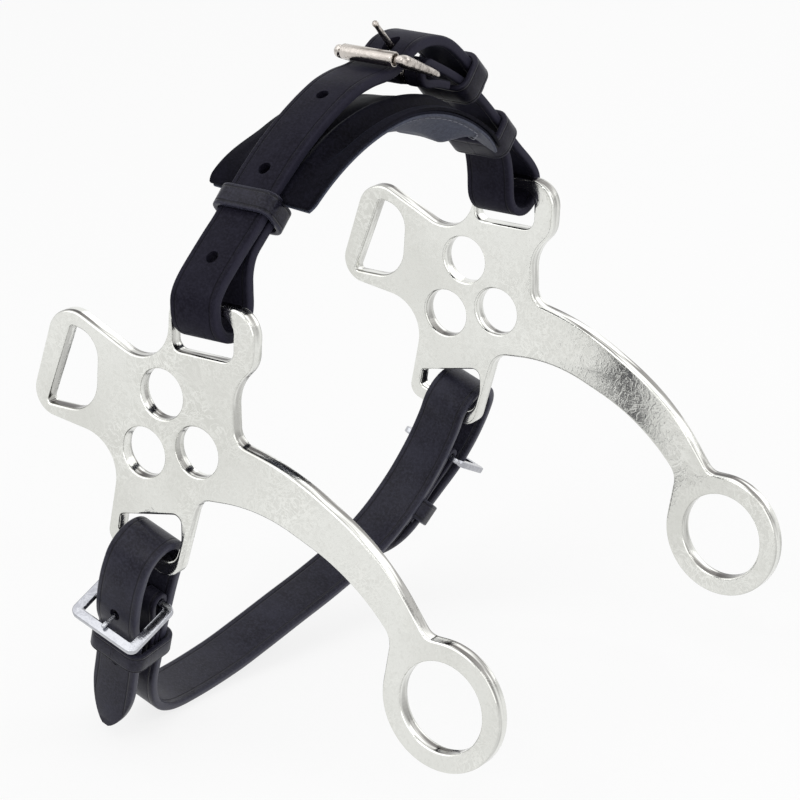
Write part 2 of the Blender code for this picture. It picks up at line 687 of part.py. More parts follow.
def tongueSolid(name, reach, rise, wire, thickness, look, parent, turn):
    """A tongue: an eye round the bar and a tapered rod that ends past the far bar."""
    eye = bandSolid(circle((0, 0), wire + GAP, 14), circle((0, 0), wire + GAP + thickness * 1.2, 14),
                    -thickness, thickness)
    made = addSolid(name, across(eye), look, parent, (0, 0, 0), turn)
    root = wire + GAP + thickness * 0.7
    shaft = rod((0, root, 0), (0, reach, rise), thickness * 0.95, 10, thickness * 0.7)
    tool = addSolid(name + "_shaft", shaft, look, made)
    tool.hide_render = True
    tool.display_type = "WIRE"
    step = made.modifiers.new("shaft", "BOOLEAN")
    step.operation = "UNION"
    step.object = tool
    return made


def makeRollerBuckle(looks, bench):
    metal = looks["nickel"]
    half = NOSE_STRAP_WIDTH / 2 + 4.0
    hinge = empty("roller_buckle_hinge", (NOSE_X, *CHAPE_BAR), (BUCKLE_SLOPE + pi, 0, 0), bench)
    roller_half = half - 2.8
    right = [(0, 0), (half - 2.6, 0), (half - 1.0, 0.6), (half - 0.2, 2.2)]
    right += [(half, BUCKLE_LENGTH * share) for share in (0.25, 0.42, 0.6, 0.78)]
    right += [(half - 0.1, BUCKLE_LENGTH - 1.4), (half - 0.8, BUCKLE_LENGTH - 0.3),
              (roller_half + 1.0, BUCKLE_LENGTH), (roller_half + 0.5, BUCKLE_LENGTH)]
    ring = right + [(0, BUCKLE_LENGTH)] + [(-x, y) for x, y in reversed(right[1:])]
    radii = []
    for x, y in ring:
        share = y / BUCKLE_LENGTH
        if abs(x) < roller_half + 0.7 and share > 0.5:
            radii.append(ROLLER_BAR_RADIUS)
        else:
            radii.append(BUCKLE_WIRE_RADIUS * (0.9 + 0.6 * share ** 2))
    addSolid("roller_buckle_frame", wireLoop(ring, radii, 10), metal, hinge)
    inside = circle((0, 0), ROLLER_BAR_RADIUS + ROLLER_CLEARANCE, 20)
    roller = bandSolid(inside, circle((0, 0), ROLLER_RADIUS, 20), -roller_half, roller_half)
    addSolid("buckle_roller", across(roller), metal, hinge, (0, BUCKLE_LENGTH, 0))
    pivot = empty("roller_tongue_hinge", (NOSE_X, *CHAPE_BAR), (0, 0, 0), bench)
    tongueSolid("roller_buckle_tongue", TONGUE_LENGTH, 0, BUCKLE_WIRE_RADIUS, TONGUE_RADIUS, metal,
                pivot, (pi - TONGUE_LIFT, 0, 0))


def makeCurb(looks, near_bar):
    """The curb strap with both ends looped over the cheeks' lower bars and buckled back."""
    leather = looks["leather"]
    inside = PLATE_INSIDE - CURB_PLATE_GAP - CURB_STRAP_THICKNESS / 2
    loop_y = inside + CURB_LOOP_RADIUS
    near_loop = arc((-loop_y, CURB_LOOP_Z), CURB_LOOP_RADIUS, 180, 0, 9)
    far_loop = arc((loop_y, CURB_LOOP_Z), CURB_LOOP_RADIUS, 180, 0, 9)
    knots = list(reversed(NEAR_BILLET)) + near_loop + list(CURB_RUN) + far_loop + list(FAR_BILLET)
    path = pathThrough(knots)
    strap = addSolid("curb_strap", strapSolid(path, CURB_MIDDLE, CURB_STRAP_WIDTH, CURB_STRAP_THICKNESS,
                                              (True, True)), leather, near_bar)
    near_top = splitAt(path, (-inside, CURB_LOOP_Z))
    far_top = splitAt(path, (inside, CURB_LOOP_Z))
    near_down = path[near_top:]
    far_down = list(reversed(path[:far_top + 1]))
    near_billet = list(reversed(path[:splitAt(path, near_loop[0])]))
    far_billet = path[splitAt(path, far_loop[-1]):]
    for label, side, down, billet, drop, keep in (
            ("near", -1, near_down, near_billet, NEAR_DROP, NEAR_KEEPER_PLACE),
            ("far", 1, far_down, far_billet, FAR_DROP, FAR_KEEPER_PLACE)):
        curbBuckle(label, side, down, billet, drop, keep, looks, near_bar, strap)


def curbBuckle(label, side, down, billet, drop, keep, looks, parent, strap):
    leather = looks["leather"]
    metal = looks["chrome"]
    down = evenSteps(down, 1.0)
    outward = [Vector((-n[0], -n[1])) if n[0] * side < 0 else n for n in normals(down)]
    at = round(CURB_BUCKLE_PLACE)
    chape_end = at + round(CURB_CHAPE_LENGTH)
    fold = CURB_WIRE_RADIUS + FOLD_GAP + CURB_CHAPE_THICKNESS / 2
    inner = CURB_STRAP_THICKNESS / 2 + GAP + CURB_CHAPE_THICKNESS / 2
    bar = lift(down[at], outward[at], inner + fold)
    tangent = (down[at + 1] - down[at - 1]).normalized()
    leg = [lift(down[s], outward[s], inner) for s in range(chape_end, at, -3)]
    bend = [bar - outward[at] * fold * cos(pi * k / 8) - tangent * fold * sin(pi * k / 8)
            for k in range(9)]
    close = inner + CURB_CHAPE_THICKNESS + 1.5 * GAP
    back = []
    for s in range(at + 3, chape_end, 3):
        share = min(1.0, 2 * (s - at) / CURB_CHAPE_LENGTH)
        ease = share * share * (3 - 2 * share)
        back.append(lift(down[s], outward[s], (inner + 2 * fold) * (1 - ease) + close * ease))
    path = evenSteps(leg + bend + back, 2.0)
    chape = strapSolid(path, CURB_MIDDLE, CURB_STRAP_WIDTH - 1, CURB_CHAPE_THICKNESS)
    made = addSolid(f"{label}_curb_chape", chape, leather, parent)
    slot_half = CURB_TONGUE_RADIUS + CURB_TONGUE_CLEARANCE
    lower = bar[1] - 1.5 * fold
    upper = bar[1] + 2.5 * fold
    slot = plateSolid([(CURB_MIDDLE - slot_half, lower), (CURB_MIDDLE - slot_half, upper),
                       (CURB_MIDDLE + slot_half, upper), (CURB_MIDDLE + slot_half, lower)],
                      bar[0] - 2.5 * fold, bar[0] + 2.5 * fold)
    cut(made, slot, f"{label}_chape_slot")

    lean = outward[at] * cos(drop) + tangent * sin(drop)
    turn = (atan2(lean[1], lean[0]), 0, 0)
    hinge = empty(f"{label}_curb_buckle_hinge", (CURB_MIDDLE, bar[0], bar[1]), turn, parent)
    ring = buckleRing(CURB_STRAP_WIDTH / 2 + 3.0, CURB_BUCKLE_DEPTH, 2.2, 40)
    addSolid(f"{label}_curb_buckle_frame", wireLoop(ring, [CURB_WIRE_RADIUS] * len(ring), 8), metal, hinge)
    rise = side * (CURB_WIRE_RADIUS + GAP + CURB_TONGUE_RADIUS)
    tongueSolid(f"{label}_curb_buckle_tongue", CURB_BUCKLE_DEPTH + CURB_TONGUE_PAST, rise, CURB_WIRE_RADIUS,
                CURB_TONGUE_RADIUS, metal, hinge, (0, 0, 0))

    up = Vector((-lean[1], lean[0]))
    aim = (lean * (CURB_BUCKLE_DEPTH + CURB_TONGUE_PAST) + up * rise).normalized()
    ahead_of_bar = [spot for spot in billet if (spot - bar).dot(aim) > 0]
    away = [abs((spot - bar).cross(aim)) for spot in ahead_of_bar]
    reached = (ahead_of_bar[away.index(min(away))] - bar).dot(aim)
    start = bar + aim * (reached - 1.3 * CURB_STRAP_THICKNESS)
    finish = bar + aim * (reached + 1.3 * CURB_STRAP_THICKNESS)
    hole = rod((CURB_MIDDLE, *start), (CURB_MIDDLE, *finish), CURB_TONGUE_RADIUS + CURB_HOLE_CLEARANCE, 12)
    cut(strap, hole, f"{label}_billet_hole")

    place = splitAt(down, keep)
    along = (down[place + 1] - down[place - 1]).normalized()
    held = [spot - down[place] for spot in billet
            if abs((spot - down[place]).dot(along)) < KEEPER_WIDTH * 0.55]
    reach = max(abs(spot.dot(outward[place])) for spot in held) + CURB_STRAP_THICKNESS / 2 + KEEPER_CLEARANCE
    inside = CURB_STRAP_THICKNESS / 2 + KEEPER_CLEARANCE + 0.1
    if normals(down)[place].dot(outward[place]) > 0:
        layers = (-inside, reach)
    else:
        layers = (-reach, inside)
    keeper(f"{label}_curb_keeper", down, place, layers, KEEPER_WIDTH, leather, parent, CURB_MIDDLE,
           CURB_STRAP_WIDTH)


def main():
    clearScene()
    looks = {"steel": material("polished steel", (0.75, 0.74, 0.72), 0.22, 1.0),
             "nickel": material("nickel plate", (0.69, 0.64, 0.60), 0.28, 1.0),
             "chrome": material("chrome plate", (0.80, 0.80, 0.80), 0.12, 1.0),
             "leather": material("navy leather", (0.017, 0.016, 0.027), 0.45, 0.0),
             "lining": material("lining leather", (0.09, 0.10, 0.13), 0.6, 0.0),
             "felt": material("padding", (0.06, 0.06, 0.07), 0.95, 0.0)}
    bench = empty("bench", (-PAD_CENTRE[0], -PAD_CENTRE[1], -PAD_CENTRE[2]))
    hangers = {}
    for label, side in (("near", -1), ("far", 1)):
        hangers[label] = empty(f"{label}_noseband_bar", (NOSE_X, side * BAR_Y, NOSE_BAR_Z), parent=bench)
        pivot = (NOSE_X, side * BAR_Y, NOSE_BAR_Z)
        cheekPlate(f"{label}_cheek_plate", looks["steel"], hangers[label], pivot)
    makeNoseband(looks, bench, hangers["near"], hangers["far"])
    makeRollerBuckle(looks, bench)
    curb = empty("curb_bar_line", (CURB_BAR[0], 0, CURB_BAR[1]), (0, CURB_TILT, 0), bench)
    makeCurb(looks, curb)


main()
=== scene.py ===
from math import acos, ceil, cos, pi, radians, sin, tan
import bmesh
import bpy
from mathutils import Matrix, Vector


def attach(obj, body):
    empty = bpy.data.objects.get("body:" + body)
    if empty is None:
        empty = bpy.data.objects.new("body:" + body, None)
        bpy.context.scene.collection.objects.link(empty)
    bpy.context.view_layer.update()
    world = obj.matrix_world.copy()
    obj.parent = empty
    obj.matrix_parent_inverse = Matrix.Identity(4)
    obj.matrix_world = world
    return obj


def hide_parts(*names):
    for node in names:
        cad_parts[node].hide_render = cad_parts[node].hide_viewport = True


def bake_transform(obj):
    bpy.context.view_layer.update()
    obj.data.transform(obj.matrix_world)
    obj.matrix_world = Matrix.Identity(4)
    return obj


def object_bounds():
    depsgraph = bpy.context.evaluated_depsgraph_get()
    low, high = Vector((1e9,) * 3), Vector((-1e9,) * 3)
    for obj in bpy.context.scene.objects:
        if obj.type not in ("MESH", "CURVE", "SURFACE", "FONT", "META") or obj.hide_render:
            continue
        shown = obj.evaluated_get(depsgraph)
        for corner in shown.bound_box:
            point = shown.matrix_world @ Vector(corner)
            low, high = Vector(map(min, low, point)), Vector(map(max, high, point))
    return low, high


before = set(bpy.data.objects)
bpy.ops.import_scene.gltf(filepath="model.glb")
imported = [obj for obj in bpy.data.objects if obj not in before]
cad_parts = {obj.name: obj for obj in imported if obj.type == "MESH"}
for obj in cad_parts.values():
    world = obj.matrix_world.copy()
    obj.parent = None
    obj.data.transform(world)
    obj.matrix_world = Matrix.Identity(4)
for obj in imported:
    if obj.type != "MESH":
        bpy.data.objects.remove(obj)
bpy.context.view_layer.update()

mm = 0.001


def placeAt(bench, spot, turn, axis):
    return bench @ Matrix.Translation(Vector(spot) * mm) @ Matrix.Rotation(turn, 4, axis)


# The pieces are laid out on a bench in millimetres: x down the cheeks, y from the near cheek to the far
# one, z up. The model's own zero is where the pad rests on the nose, 88 mm up that bench.
benchZero = Vector((-4.0, 7.0, -88.0))
benchPlace = Matrix.Translation(benchZero * mm)

# The curb strap has a bench of its own, tilted about the bars of the two curb slots.
curbBar = (-15.5, -40.3)
curbTilt = radians(20)
curbBench = placeAt(benchPlace, (curbBar[0], 0, curbBar[1]), curbTilt, "Y")

# Straps are bent in a flat drawing of (y, z) and then stood up with their width along x.
standUp = Matrix(((0, 0, 1, 0), (1, 0, 0, 0), (0, 1, 0, 0), (0, 0, 0, 1)))
layOver = Matrix(((1, 0, 0, 0), (0, 0, 1, 0), (0, 1, 0, 0), (0, 0, 0, 1)))        # y and z change places
nosePlace = benchPlace @ standUp
curbPlace = curbBench @ standUp


def onlySelect(piece):
    if bpy.context.object and bpy.context.object.mode != "OBJECT":
        bpy.ops.object.mode_set(mode="OBJECT")
    bpy.ops.object.select_all(action="DESELECT")
    if piece:
        piece.select_set(True)
        bpy.context.view_layer.objects.active = piece


def applyAll(piece):
    onlySelect(piece)
    for step in list(piece.modifiers):
        bpy.ops.object.modifier_apply(modifier=step.name)


def remove(piece):
    bpy.data.objects.remove(piece, do_unlink=True)


def smooth(piece, angle=38):
    onlySelect(piece)
    bpy.ops.object.shade_smooth_by_angle(angle=radians(angle))


def setPlace(piece, place):
    piece.data.transform(place)
    piece.data.update()


def pick(kind, test):
    # in edit mode, selects the corners, edges or faces that pass a test
    shape = bmesh.from_edit_mesh(bpy.context.object.data)
    bpy.ops.mesh.select_mode(type=kind)
    bpy.ops.mesh.select_all(action="DESELECT")
    for part in {"VERT": shape.verts, "EDGE": shape.edges, "FACE": shape.faces}[kind]:
        if test(part):
            part.select_set(True)
    if kind == "VERT":
        shape.select_flush(True)
    bmesh.update_edit_mesh(bpy.context.object.data)


def edgeSpan(edge, axis):
    return abs(edge.verts[0].co[axis] - edge.verts[1].co[axis])


def cutAway(piece, tool):
    step = piece.modifiers.new("cut", "BOOLEAN")
    step.object = tool
    step.operation = "DIFFERENCE"
    step.solver = "EXACT"
    applyAll(piece)
    remove(tool)


def easeRim(piece, width):
    rim = piece.modifiers.new("rim", "BEVEL")
    rim.width = width * mm
    rim.segments = 2
    rim.limit_method = "ANGLE"
    rim.angle_limit = radians(50)
    applyAll(piece)


# Lines are lists of points: rounded outlines, smooth runs through knots, arcs, all in millimetres.
def rounded(corners, steps):
    outline = []
    count = len(corners)
    for index in range(count):
        before = Vector(corners[index - 1][:2])
        here = Vector(corners[index][:2])
        after = Vector(corners[(index + 1) % count][:2])
        radius = corners[index][2]
        back = (before - here).normalized()
        ahead = (after - here).normalized()
        opening = acos(max(-1.0, min(1.0, back.dot(ahead))))
        middle = here + (back + ahead).normalized() * (radius / sin(opening / 2))
        start = here + back * (radius / tan(opening / 2)) - middle
        sweep = pi - opening
        side = 1 if back.cross(ahead) < 0 else -1
        pieces = max(3, ceil(steps * sweep / (pi / 2)), ceil(radius * sweep / 1.2))
        for piece in range(pieces + 1):
            outline.append(middle + Matrix.Rotation(side * sweep * piece / pieces, 2) @ start)
    return outline


def evenSteps(line, spacing):
    lengths = [0.0]
    for before, after in zip(line, line[1:]):
        lengths.append(lengths[-1] + (after - before).length)
    count = max(2, round(lengths[-1] / spacing))
    steps = []
    place = 0
    for step in range(count + 1):
        target = lengths[-1] * step / count
        while place < len(line) - 2 and lengths[place + 1] < target:
            place += 1
        span = lengths[place + 1] - lengths[place]
        share = (target - lengths[place]) / span if span else 0
        steps.append(line[place].lerp(line[place + 1], share))
    return steps


def smoothRun(knots, spacing=0.8):
    points = [Vector(knot) for knot in knots]
    points = [points[0] * 2 - points[1]] + points + [points[-1] * 2 - points[-2]]
    fine = []
    for index in range(1, len(points) - 2):
        p0, p1, p2, p3 = points[index - 1:index + 3]
        for part in range(24):
            t = part / 24
            fine.append((p1 * 2 + (p2 - p0) * t + (p0 * 2 - p1 * 5 + p2 * 4 - p3) * t * t
                         + (p1 * 3 - p0 - p2 * 3 + p3) * t ** 3) / 2)
    fine.append(points[-2])
    return evenSteps(fine, spacing)


def arcOf(centre, radius, first, last, count=16):
    turns = [radians(first + (last - first) * step / count) for step in range(count + 1)]
    return [Vector((centre[0] + radius * cos(turn), centre[1] + radius * sin(turn))) for turn in turns]


def lineLength(line):
    return sum((after - before).length for before, after in zip(line, line[1:]))


def alongLine(line, spot):
    # how far along a line its nearest point to a spot lies
    gaps = [(point - Vector(spot)).length for point in line]
    return lineLength(line[:gaps.index(min(gaps)) + 1])


def flatLines(name, lines, closed=False):
    data = bpy.data.curves.new(name, "CURVE")
    data.dimensions = "2D"
    for line in lines:
        spline = data.splines.new("POLY")
        spline.points.add(len(line) - 1)
        for point, spot in zip(spline.points, line):
            point.co = (spot[0] * mm, spot[1] * mm, 0, 1)
        spline.use_cyclic_u = closed
    made = bpy.data.objects.new(name, data)
    bpy.context.collection.objects.link(made)
    return made


def cutPlate(name, outlines, thickness, edge, steps):
    # an outline and its openings as one flat filled curve, given thickness and rolled edges
    plate = flatLines(name, outlines, True)
    plate.data.fill_mode = "BOTH"
    plate.data.extrude = (thickness / 2 - edge) * mm
    plate.data.bevel_depth = edge * mm
    plate.data.bevel_resolution = steps
    plate.data.offset = -edge * mm
    onlySelect(plate)
    bpy.ops.object.convert(target="MESH")
    plate = bpy.context.object
    bpy.ops.object.mode_set(mode="EDIT")
    bpy.ops.mesh.select_all(action="SELECT")
    bpy.ops.mesh.remove_doubles(threshold=0.000005)
    bpy.ops.mesh.normals_make_consistent(inside=False)
    bpy.ops.object.mode_set(mode="OBJECT")
    return plate


# Everything that is cut from a flat strap and bent has this one maker.
def bentStrap(name, line, middle, width, thickness, place, edge=0.8, spacing=1.2, holes=(), tips=(False, False),
              tipLength=12.0, slot=None):
    length = lineLength(line)
    onlySelect(None)
    bpy.ops.mesh.primitive_cube_add(size=1, location=(length / 2 * mm, 0, middle * mm))
    strap = bpy.context.object
    strap.name = name
    strap.scale = (length * mm, thickness * mm, width * mm)
    bpy.ops.object.transform_apply(location=True, rotation=True, scale=True)
    bpy.ops.object.mode_set(mode="EDIT")
    pick("EDGE", lambda edge: edgeSpan(edge, 0) > length * mm * 0.9)
    bpy.ops.mesh.bevel(offset=edge * mm, segments=3, affect="EDGES")
    halves = 0
    pieces = length / spacing
    while pieces > 100:                               # subdivide makes 100 cuts at most
        pieces /= 2
        halves += 1
    pick("EDGE", lambda edge: edgeSpan(edge, 0) > length * mm * 0.9)
    bpy.ops.mesh.subdivide(number_cuts=max(1, round(pieces) - 1))
    for half in range(halves):
        pick("EDGE", lambda edge: edgeSpan(edge, 1) + edgeSpan(edge, 2) < 1e-7)
        bpy.ops.mesh.subdivide(number_cuts=1)
    for end, asked in enumerate(tips):
        if asked:
            narrowTip(length, end, middle, tipLength)
    bpy.ops.object.mode_set(mode="OBJECT")
    for where, radius, stretch in holes:
        punchHole(strap, where, middle, radius, thickness, stretch)
    if slot:
        cutSlot(strap, slot, middle, thickness)
    noteFlatPlace(strap, middle)
    guide = flatLines(name + "Line", [line])
    bend = strap.modifiers.new("bend", "CURVE")
    bend.object = guide
    bend.deform_axis = "POS_X"
    applyAll(strap)
    remove(guide)
    setPlace(strap, place)
    smooth(strap)
    return strap


tipCut = {"blunt": 0.16, "roundness": 0.75}


def narrowTip(length, end, middle, tipLength):
    # a rounded point, ring by ring, the way a strap end punch leaves it
    places = sorted({round(vert.co.x, 7) for vert in bmesh.from_edit_mesh(bpy.context.object.data).verts})
    for spot in places:
        left = (length * mm - spot if end else spot) / mm
        if left < tipLength:
            swell = (1 - (1 - max(0.0, left) / tipLength) ** 2) ** tipCut["roundness"]
            share = tipCut["blunt"] + (1 - tipCut["blunt"]) * swell
            pick("VERT", lambda vert: abs(vert.co.x - spot) < 2e-7)
            bpy.ops.transform.resize(value=(1, 1, share), center_override=(spot, 0, middle * mm))


def punchHole(strap, where, middle, radius, thickness, stretch):
    onlySelect(None)
    bpy.ops.mesh.primitive_cylinder_add(vertices=28, radius=radius * mm, depth=thickness * 3 * mm,
                                        location=(where * mm, 0, middle * mm), rotation=(pi / 2, 0, 0))
    punch = bpy.context.object
    punch.scale = (stretch, 1, 1)
    bpy.ops.object.transform_apply(location=True, rotation=True, scale=True)
    cutAway(strap, punch)


def cutSlot(strap, slot, middle, thickness):
    # the oblong slot of a fold that lets a tongue through
    start, end, half = slot
    onlySelect(None)
    bpy.ops.mesh.primitive_cube_add(size=1, location=((start + end) / 2 * mm, 0, middle * mm))
    tool = bpy.context.object
    tool.scale = ((end - start) * mm, thickness * 3 * mm, half * 2 * mm)
    bpy.ops.object.transform_apply(location=True, rotation=True, scale=True)
    bpy.ops.object.mode_set(mode="EDIT")
    pick("EDGE", lambda edge: edgeSpan(edge, 1) > thickness * 2 * mm)
    bpy.ops.mesh.bevel(offset=half * 0.95 * mm, segments=5, affect="EDGES")
    bpy.ops.object.mode_set(mode="OBJECT")
    cutAway(strap, tool)


def noteFlatPlace(strap, middle):
    # the strap's own map: along and across it, in millimetres, read by the leather
    layer = strap.data.uv_layers.active or strap.data.uv_layers.new(name="strapMap")
    layer.name = "strapMap"
    for loop in strap.data.loops:
        spot = strap.data.vertices[loop.vertex_index].co
        layer.data[loop.index].uv = (spot.x / mm, spot.z / mm - middle)


def newMaterial(name):
    made = bpy.data.materials.new(name)
    made.use_nodes = True
    return made, made.node_tree, made.node_tree.nodes["Principled BSDF"]


def newGroup(name, extra, outputs):
    # a shader group that reads a place and one more number, and puts out masks
    made = bpy.data.node_groups.new(name, "ShaderNodeTree")
    made.interface.new_socket(name="Vector", in_out="INPUT", socket_type="NodeSocketVector")
    socket = made.interface.new_socket(name=extra, in_out="INPUT", socket_type="NodeSocketFloat")
    socket.default_value = 1.0
    for label in outputs:
        made.interface.new_socket(name=label, in_out="OUTPUT", socket_type="NodeSocketFloat")
    return made, made.nodes.new("NodeGroupInput").outputs, made.nodes.new("NodeGroupOutput").inputs


def objectPlace(tree):
    return tree.nodes.new("ShaderNodeTexCoord").outputs["Object"]


def useGroup(tree, group, place):
    node = tree.nodes.new("ShaderNodeGroup")
    node.node_tree = group
    tree.links.new(place, node.inputs["Vector"])
    return node.outputs


def stretched(tree, place, scale):
    node = tree.nodes.new("ShaderNodeMapping")
    node.inputs["Scale"].default_value = scale
    tree.links.new(place, node.inputs["Vector"])
    return node.outputs["Vector"]


def tinted(colour, by):
    return tuple(min(1.0, channel * by) for channel in colour)


def combine(tree, kind, first, second=None):
    node = tree.nodes.new("ShaderNodeMath")
    node.operation = kind
    for socket, value in zip(node.inputs, (first, second)):
        if isinstance(value, (int, float)):
            socket.default_value = value
        elif value is not None:
            tree.links.new(value, socket)
    return node.outputs[0]


def times(tree, first, second):
    return combine(tree, "MULTIPLY", first, second)


def plus(tree, first, second):
    return combine(tree, "ADD", first, second)


def minus(tree, first, second):
    return combine(tree, "SUBTRACT", first, second)


def noise(tree, vector, scale, detail=4.0, rough=0.55, distort=0.0):
    node = tree.nodes.new("ShaderNodeTexNoise")
    for label, value in (("Scale", scale), ("Detail", detail), ("Roughness", rough), ("Distortion", distort)):
        node.inputs[label].default_value = value
    tree.links.new(vector, node.inputs["Vector"])
    return node.outputs["Fac"]


def mixColour(tree, share, first, second):
    node = tree.nodes.new("ShaderNodeMix")
    node.data_type = "RGBA"
    for socket, value in zip((node.inputs[0], node.inputs[6], node.inputs[7]), (share, first, second)):
        if isinstance(value, tuple):
            socket.default_value = (*value, 1)
        else:
            tree.links.new(value, socket)
    return node.outputs[2]


def rampOf(tree, value, stops):
    # from the first two stops to the last two
    node = tree.nodes.new("ShaderNodeMapRange")
    for label, stop in zip(("From Min", "From Max", "To Min", "To Max"), stops):
        node.inputs[label].default_value = stop
    tree.links.new(value, node.inputs["Value"])
    return node.outputs[0]


def addBump(tree, shader, height, distance, strength):
    bump = tree.nodes.new("ShaderNodeBump")
    bump.inputs["Strength"].default_value = strength
    bump.inputs["Distance"].default_value = distance
    tree.links.new(height, bump.inputs["Height"])
    tree.links.new(bump.outputs["Normal"], shader.inputs["Normal"])


def makeGrainGroup():
    # bridle leather: fine pores as a height, a soft long mottle and small flecks as masks
    group, given, out = newGroup("leatherGrain", "Pores", ("Height", "Mottle", "Fleck"))
    cells = group.nodes.new("ShaderNodeTexVoronoi")
    cells.inputs["Scale"].default_value = 1900
    group.links.new(given["Vector"], cells.inputs["Vector"])
    pores = times(group, cells.outputs["Distance"], given["Pores"])
    fine = times(group, noise(group, given["Vector"], 900, 5, 0.6), 0.9)
    group.links.new(plus(group, pores, fine), out["Height"])
    group.links.new(noise(group, given["Vector"], 75, 5, 0.62), out["Mottle"])
    group.links.new(noise(group, given["Vector"], 1150, 3, 0.7), out["Fleck"])
    return group


grainGroup = makeGrainGroup()


def makeLeather(name, colour, bloom, roughness, crease=None, strapHalf=None, bumpBy=0.00007, shine=0.3,
                raw=None):
    # navy bridle leather; a strap gets a creased line beside each edge, bumped in and darkened as painted
    # shade, and a paler band along each edge as a painted highlight, and raw is a worn brown oval on it: how
    # far along, half its length, half its width
    made, tree, shader = newMaterial(name)
    place = objectPlace(tree)
    grain = useGroup(tree, grainGroup, place)
    scuffs = noise(tree, place, 230, 6, 0.7, 0.6)
    face = mixColour(tree, rampOf(tree, grain["Mottle"], (0.40, 0.72, 0.0, 0.55)), colour, bloom)
    face = mixColour(tree, rampOf(tree, grain["Fleck"], (0.42, 0.70, 0.0, 0.75)), face, bloom)
    face = mixColour(tree, rampOf(tree, scuffs, (0.58, 0.78, 0.0, 0.45)), face, tinted(bloom, 1.6))
    height = times(tree, grain["Height"], 0.35)
    if strapHalf:
        flatMap = tree.nodes.new("ShaderNodeUVMap")
        flatMap.uv_map = "strapMap"
        parts = tree.nodes.new("ShaderNodeSeparateXYZ")
        tree.links.new(flatMap.outputs["UV"], parts.inputs["Vector"])
        across = combine(tree, "ABSOLUTE", parts.outputs["Y"])
        fromCrease = combine(tree, "ABSOLUTE", minus(tree, across, strapHalf - crease))
        creaseAndShade = rampOf(tree, fromCrease, (0.0, 0.42, 1.0, 0.0))
        # painted highlight: a paler band along each edge of the strap
        rim = rampOf(tree, across, (strapHalf - 0.7, strapHalf + 0.1, 0.0, 0.65))
        face = mixColour(tree, rim, face, tinted(bloom, 1.5))
        # painted shade: the crease line is darkened in colour as well as bumped in
        face = mixColour(tree, times(tree, creaseAndShade, 0.8), face, tinted(colour, 0.3))
        height = minus(tree, height, times(tree, creaseAndShade, 2.6))
        if raw:
            along, reach, half = raw
            longPart = combine(tree, "DIVIDE", minus(tree, parts.outputs["X"], along), reach)
            widePart = combine(tree, "DIVIDE", parts.outputs["Y"], half)
            worn = plus(tree, times(tree, longPart, longPart), times(tree, widePart, widePart))
            worn = rampOf(tree, plus(tree, worn, times(tree, scuffs, 0.7)), (0.75, 1.15, 0.9, 0.0))
            face = mixColour(tree, worn, face, (0.20, 0.125, 0.055))
    tree.links.new(face, shader.inputs["Base Color"])
    gloss = rampOf(tree, grain["Mottle"], (0.3, 0.75, roughness - 0.07, roughness + 0.12))
    tree.links.new(gloss, shader.inputs["Roughness"])
    addBump(tree, shader, height, bumpBy, 0.9)
    shader.inputs["IOR"].default_value = 1.25
    shader.inputs["Specular IOR Level"].default_value = shine
    shader.inputs["Sheen Weight"].default_value = 0.03
    shader.inputs["Sheen Roughness"].default_value = 0.4
    shader.inputs["Sheen Tint"].default_value = (0.55, 0.62, 0.85, 1)
    return made


def makeCurlGroup():
    # buffing marks: thin curled lines, close together, and the cloud that they fade in and out with
    group, given, out = newGroup("buffingCurls", "Scale", ("Curls", "Cloud"))
    sized = group.nodes.new("ShaderNodeVectorMath")
    sized.operation = "SCALE"
    group.links.new(given["Vector"], sized.inputs[0])
    group.links.new(given["Scale"], sized.inputs["Scale"])
    curls = []
    for scale, twist in ((105, 3.0), (170, 2.4)):
        field = noise(group, sized.outputs["Vector"], scale, 2.0, 0.5, twist)
        ridge = combine(group, "ABSOLUTE", minus(group, field, 0.5))
        curls.append(rampOf(group, ridge, (0.0, 0.050, 1.0, 0.0)))
    group.links.new(combine(group, "MAXIMUM", *curls), out["Curls"])
    group.links.new(noise(group, sized.outputs["Vector"], 42, 3, 0.55, 0.4), out["Cloud"])
    return group


curlGroup = makeCurlGroup()


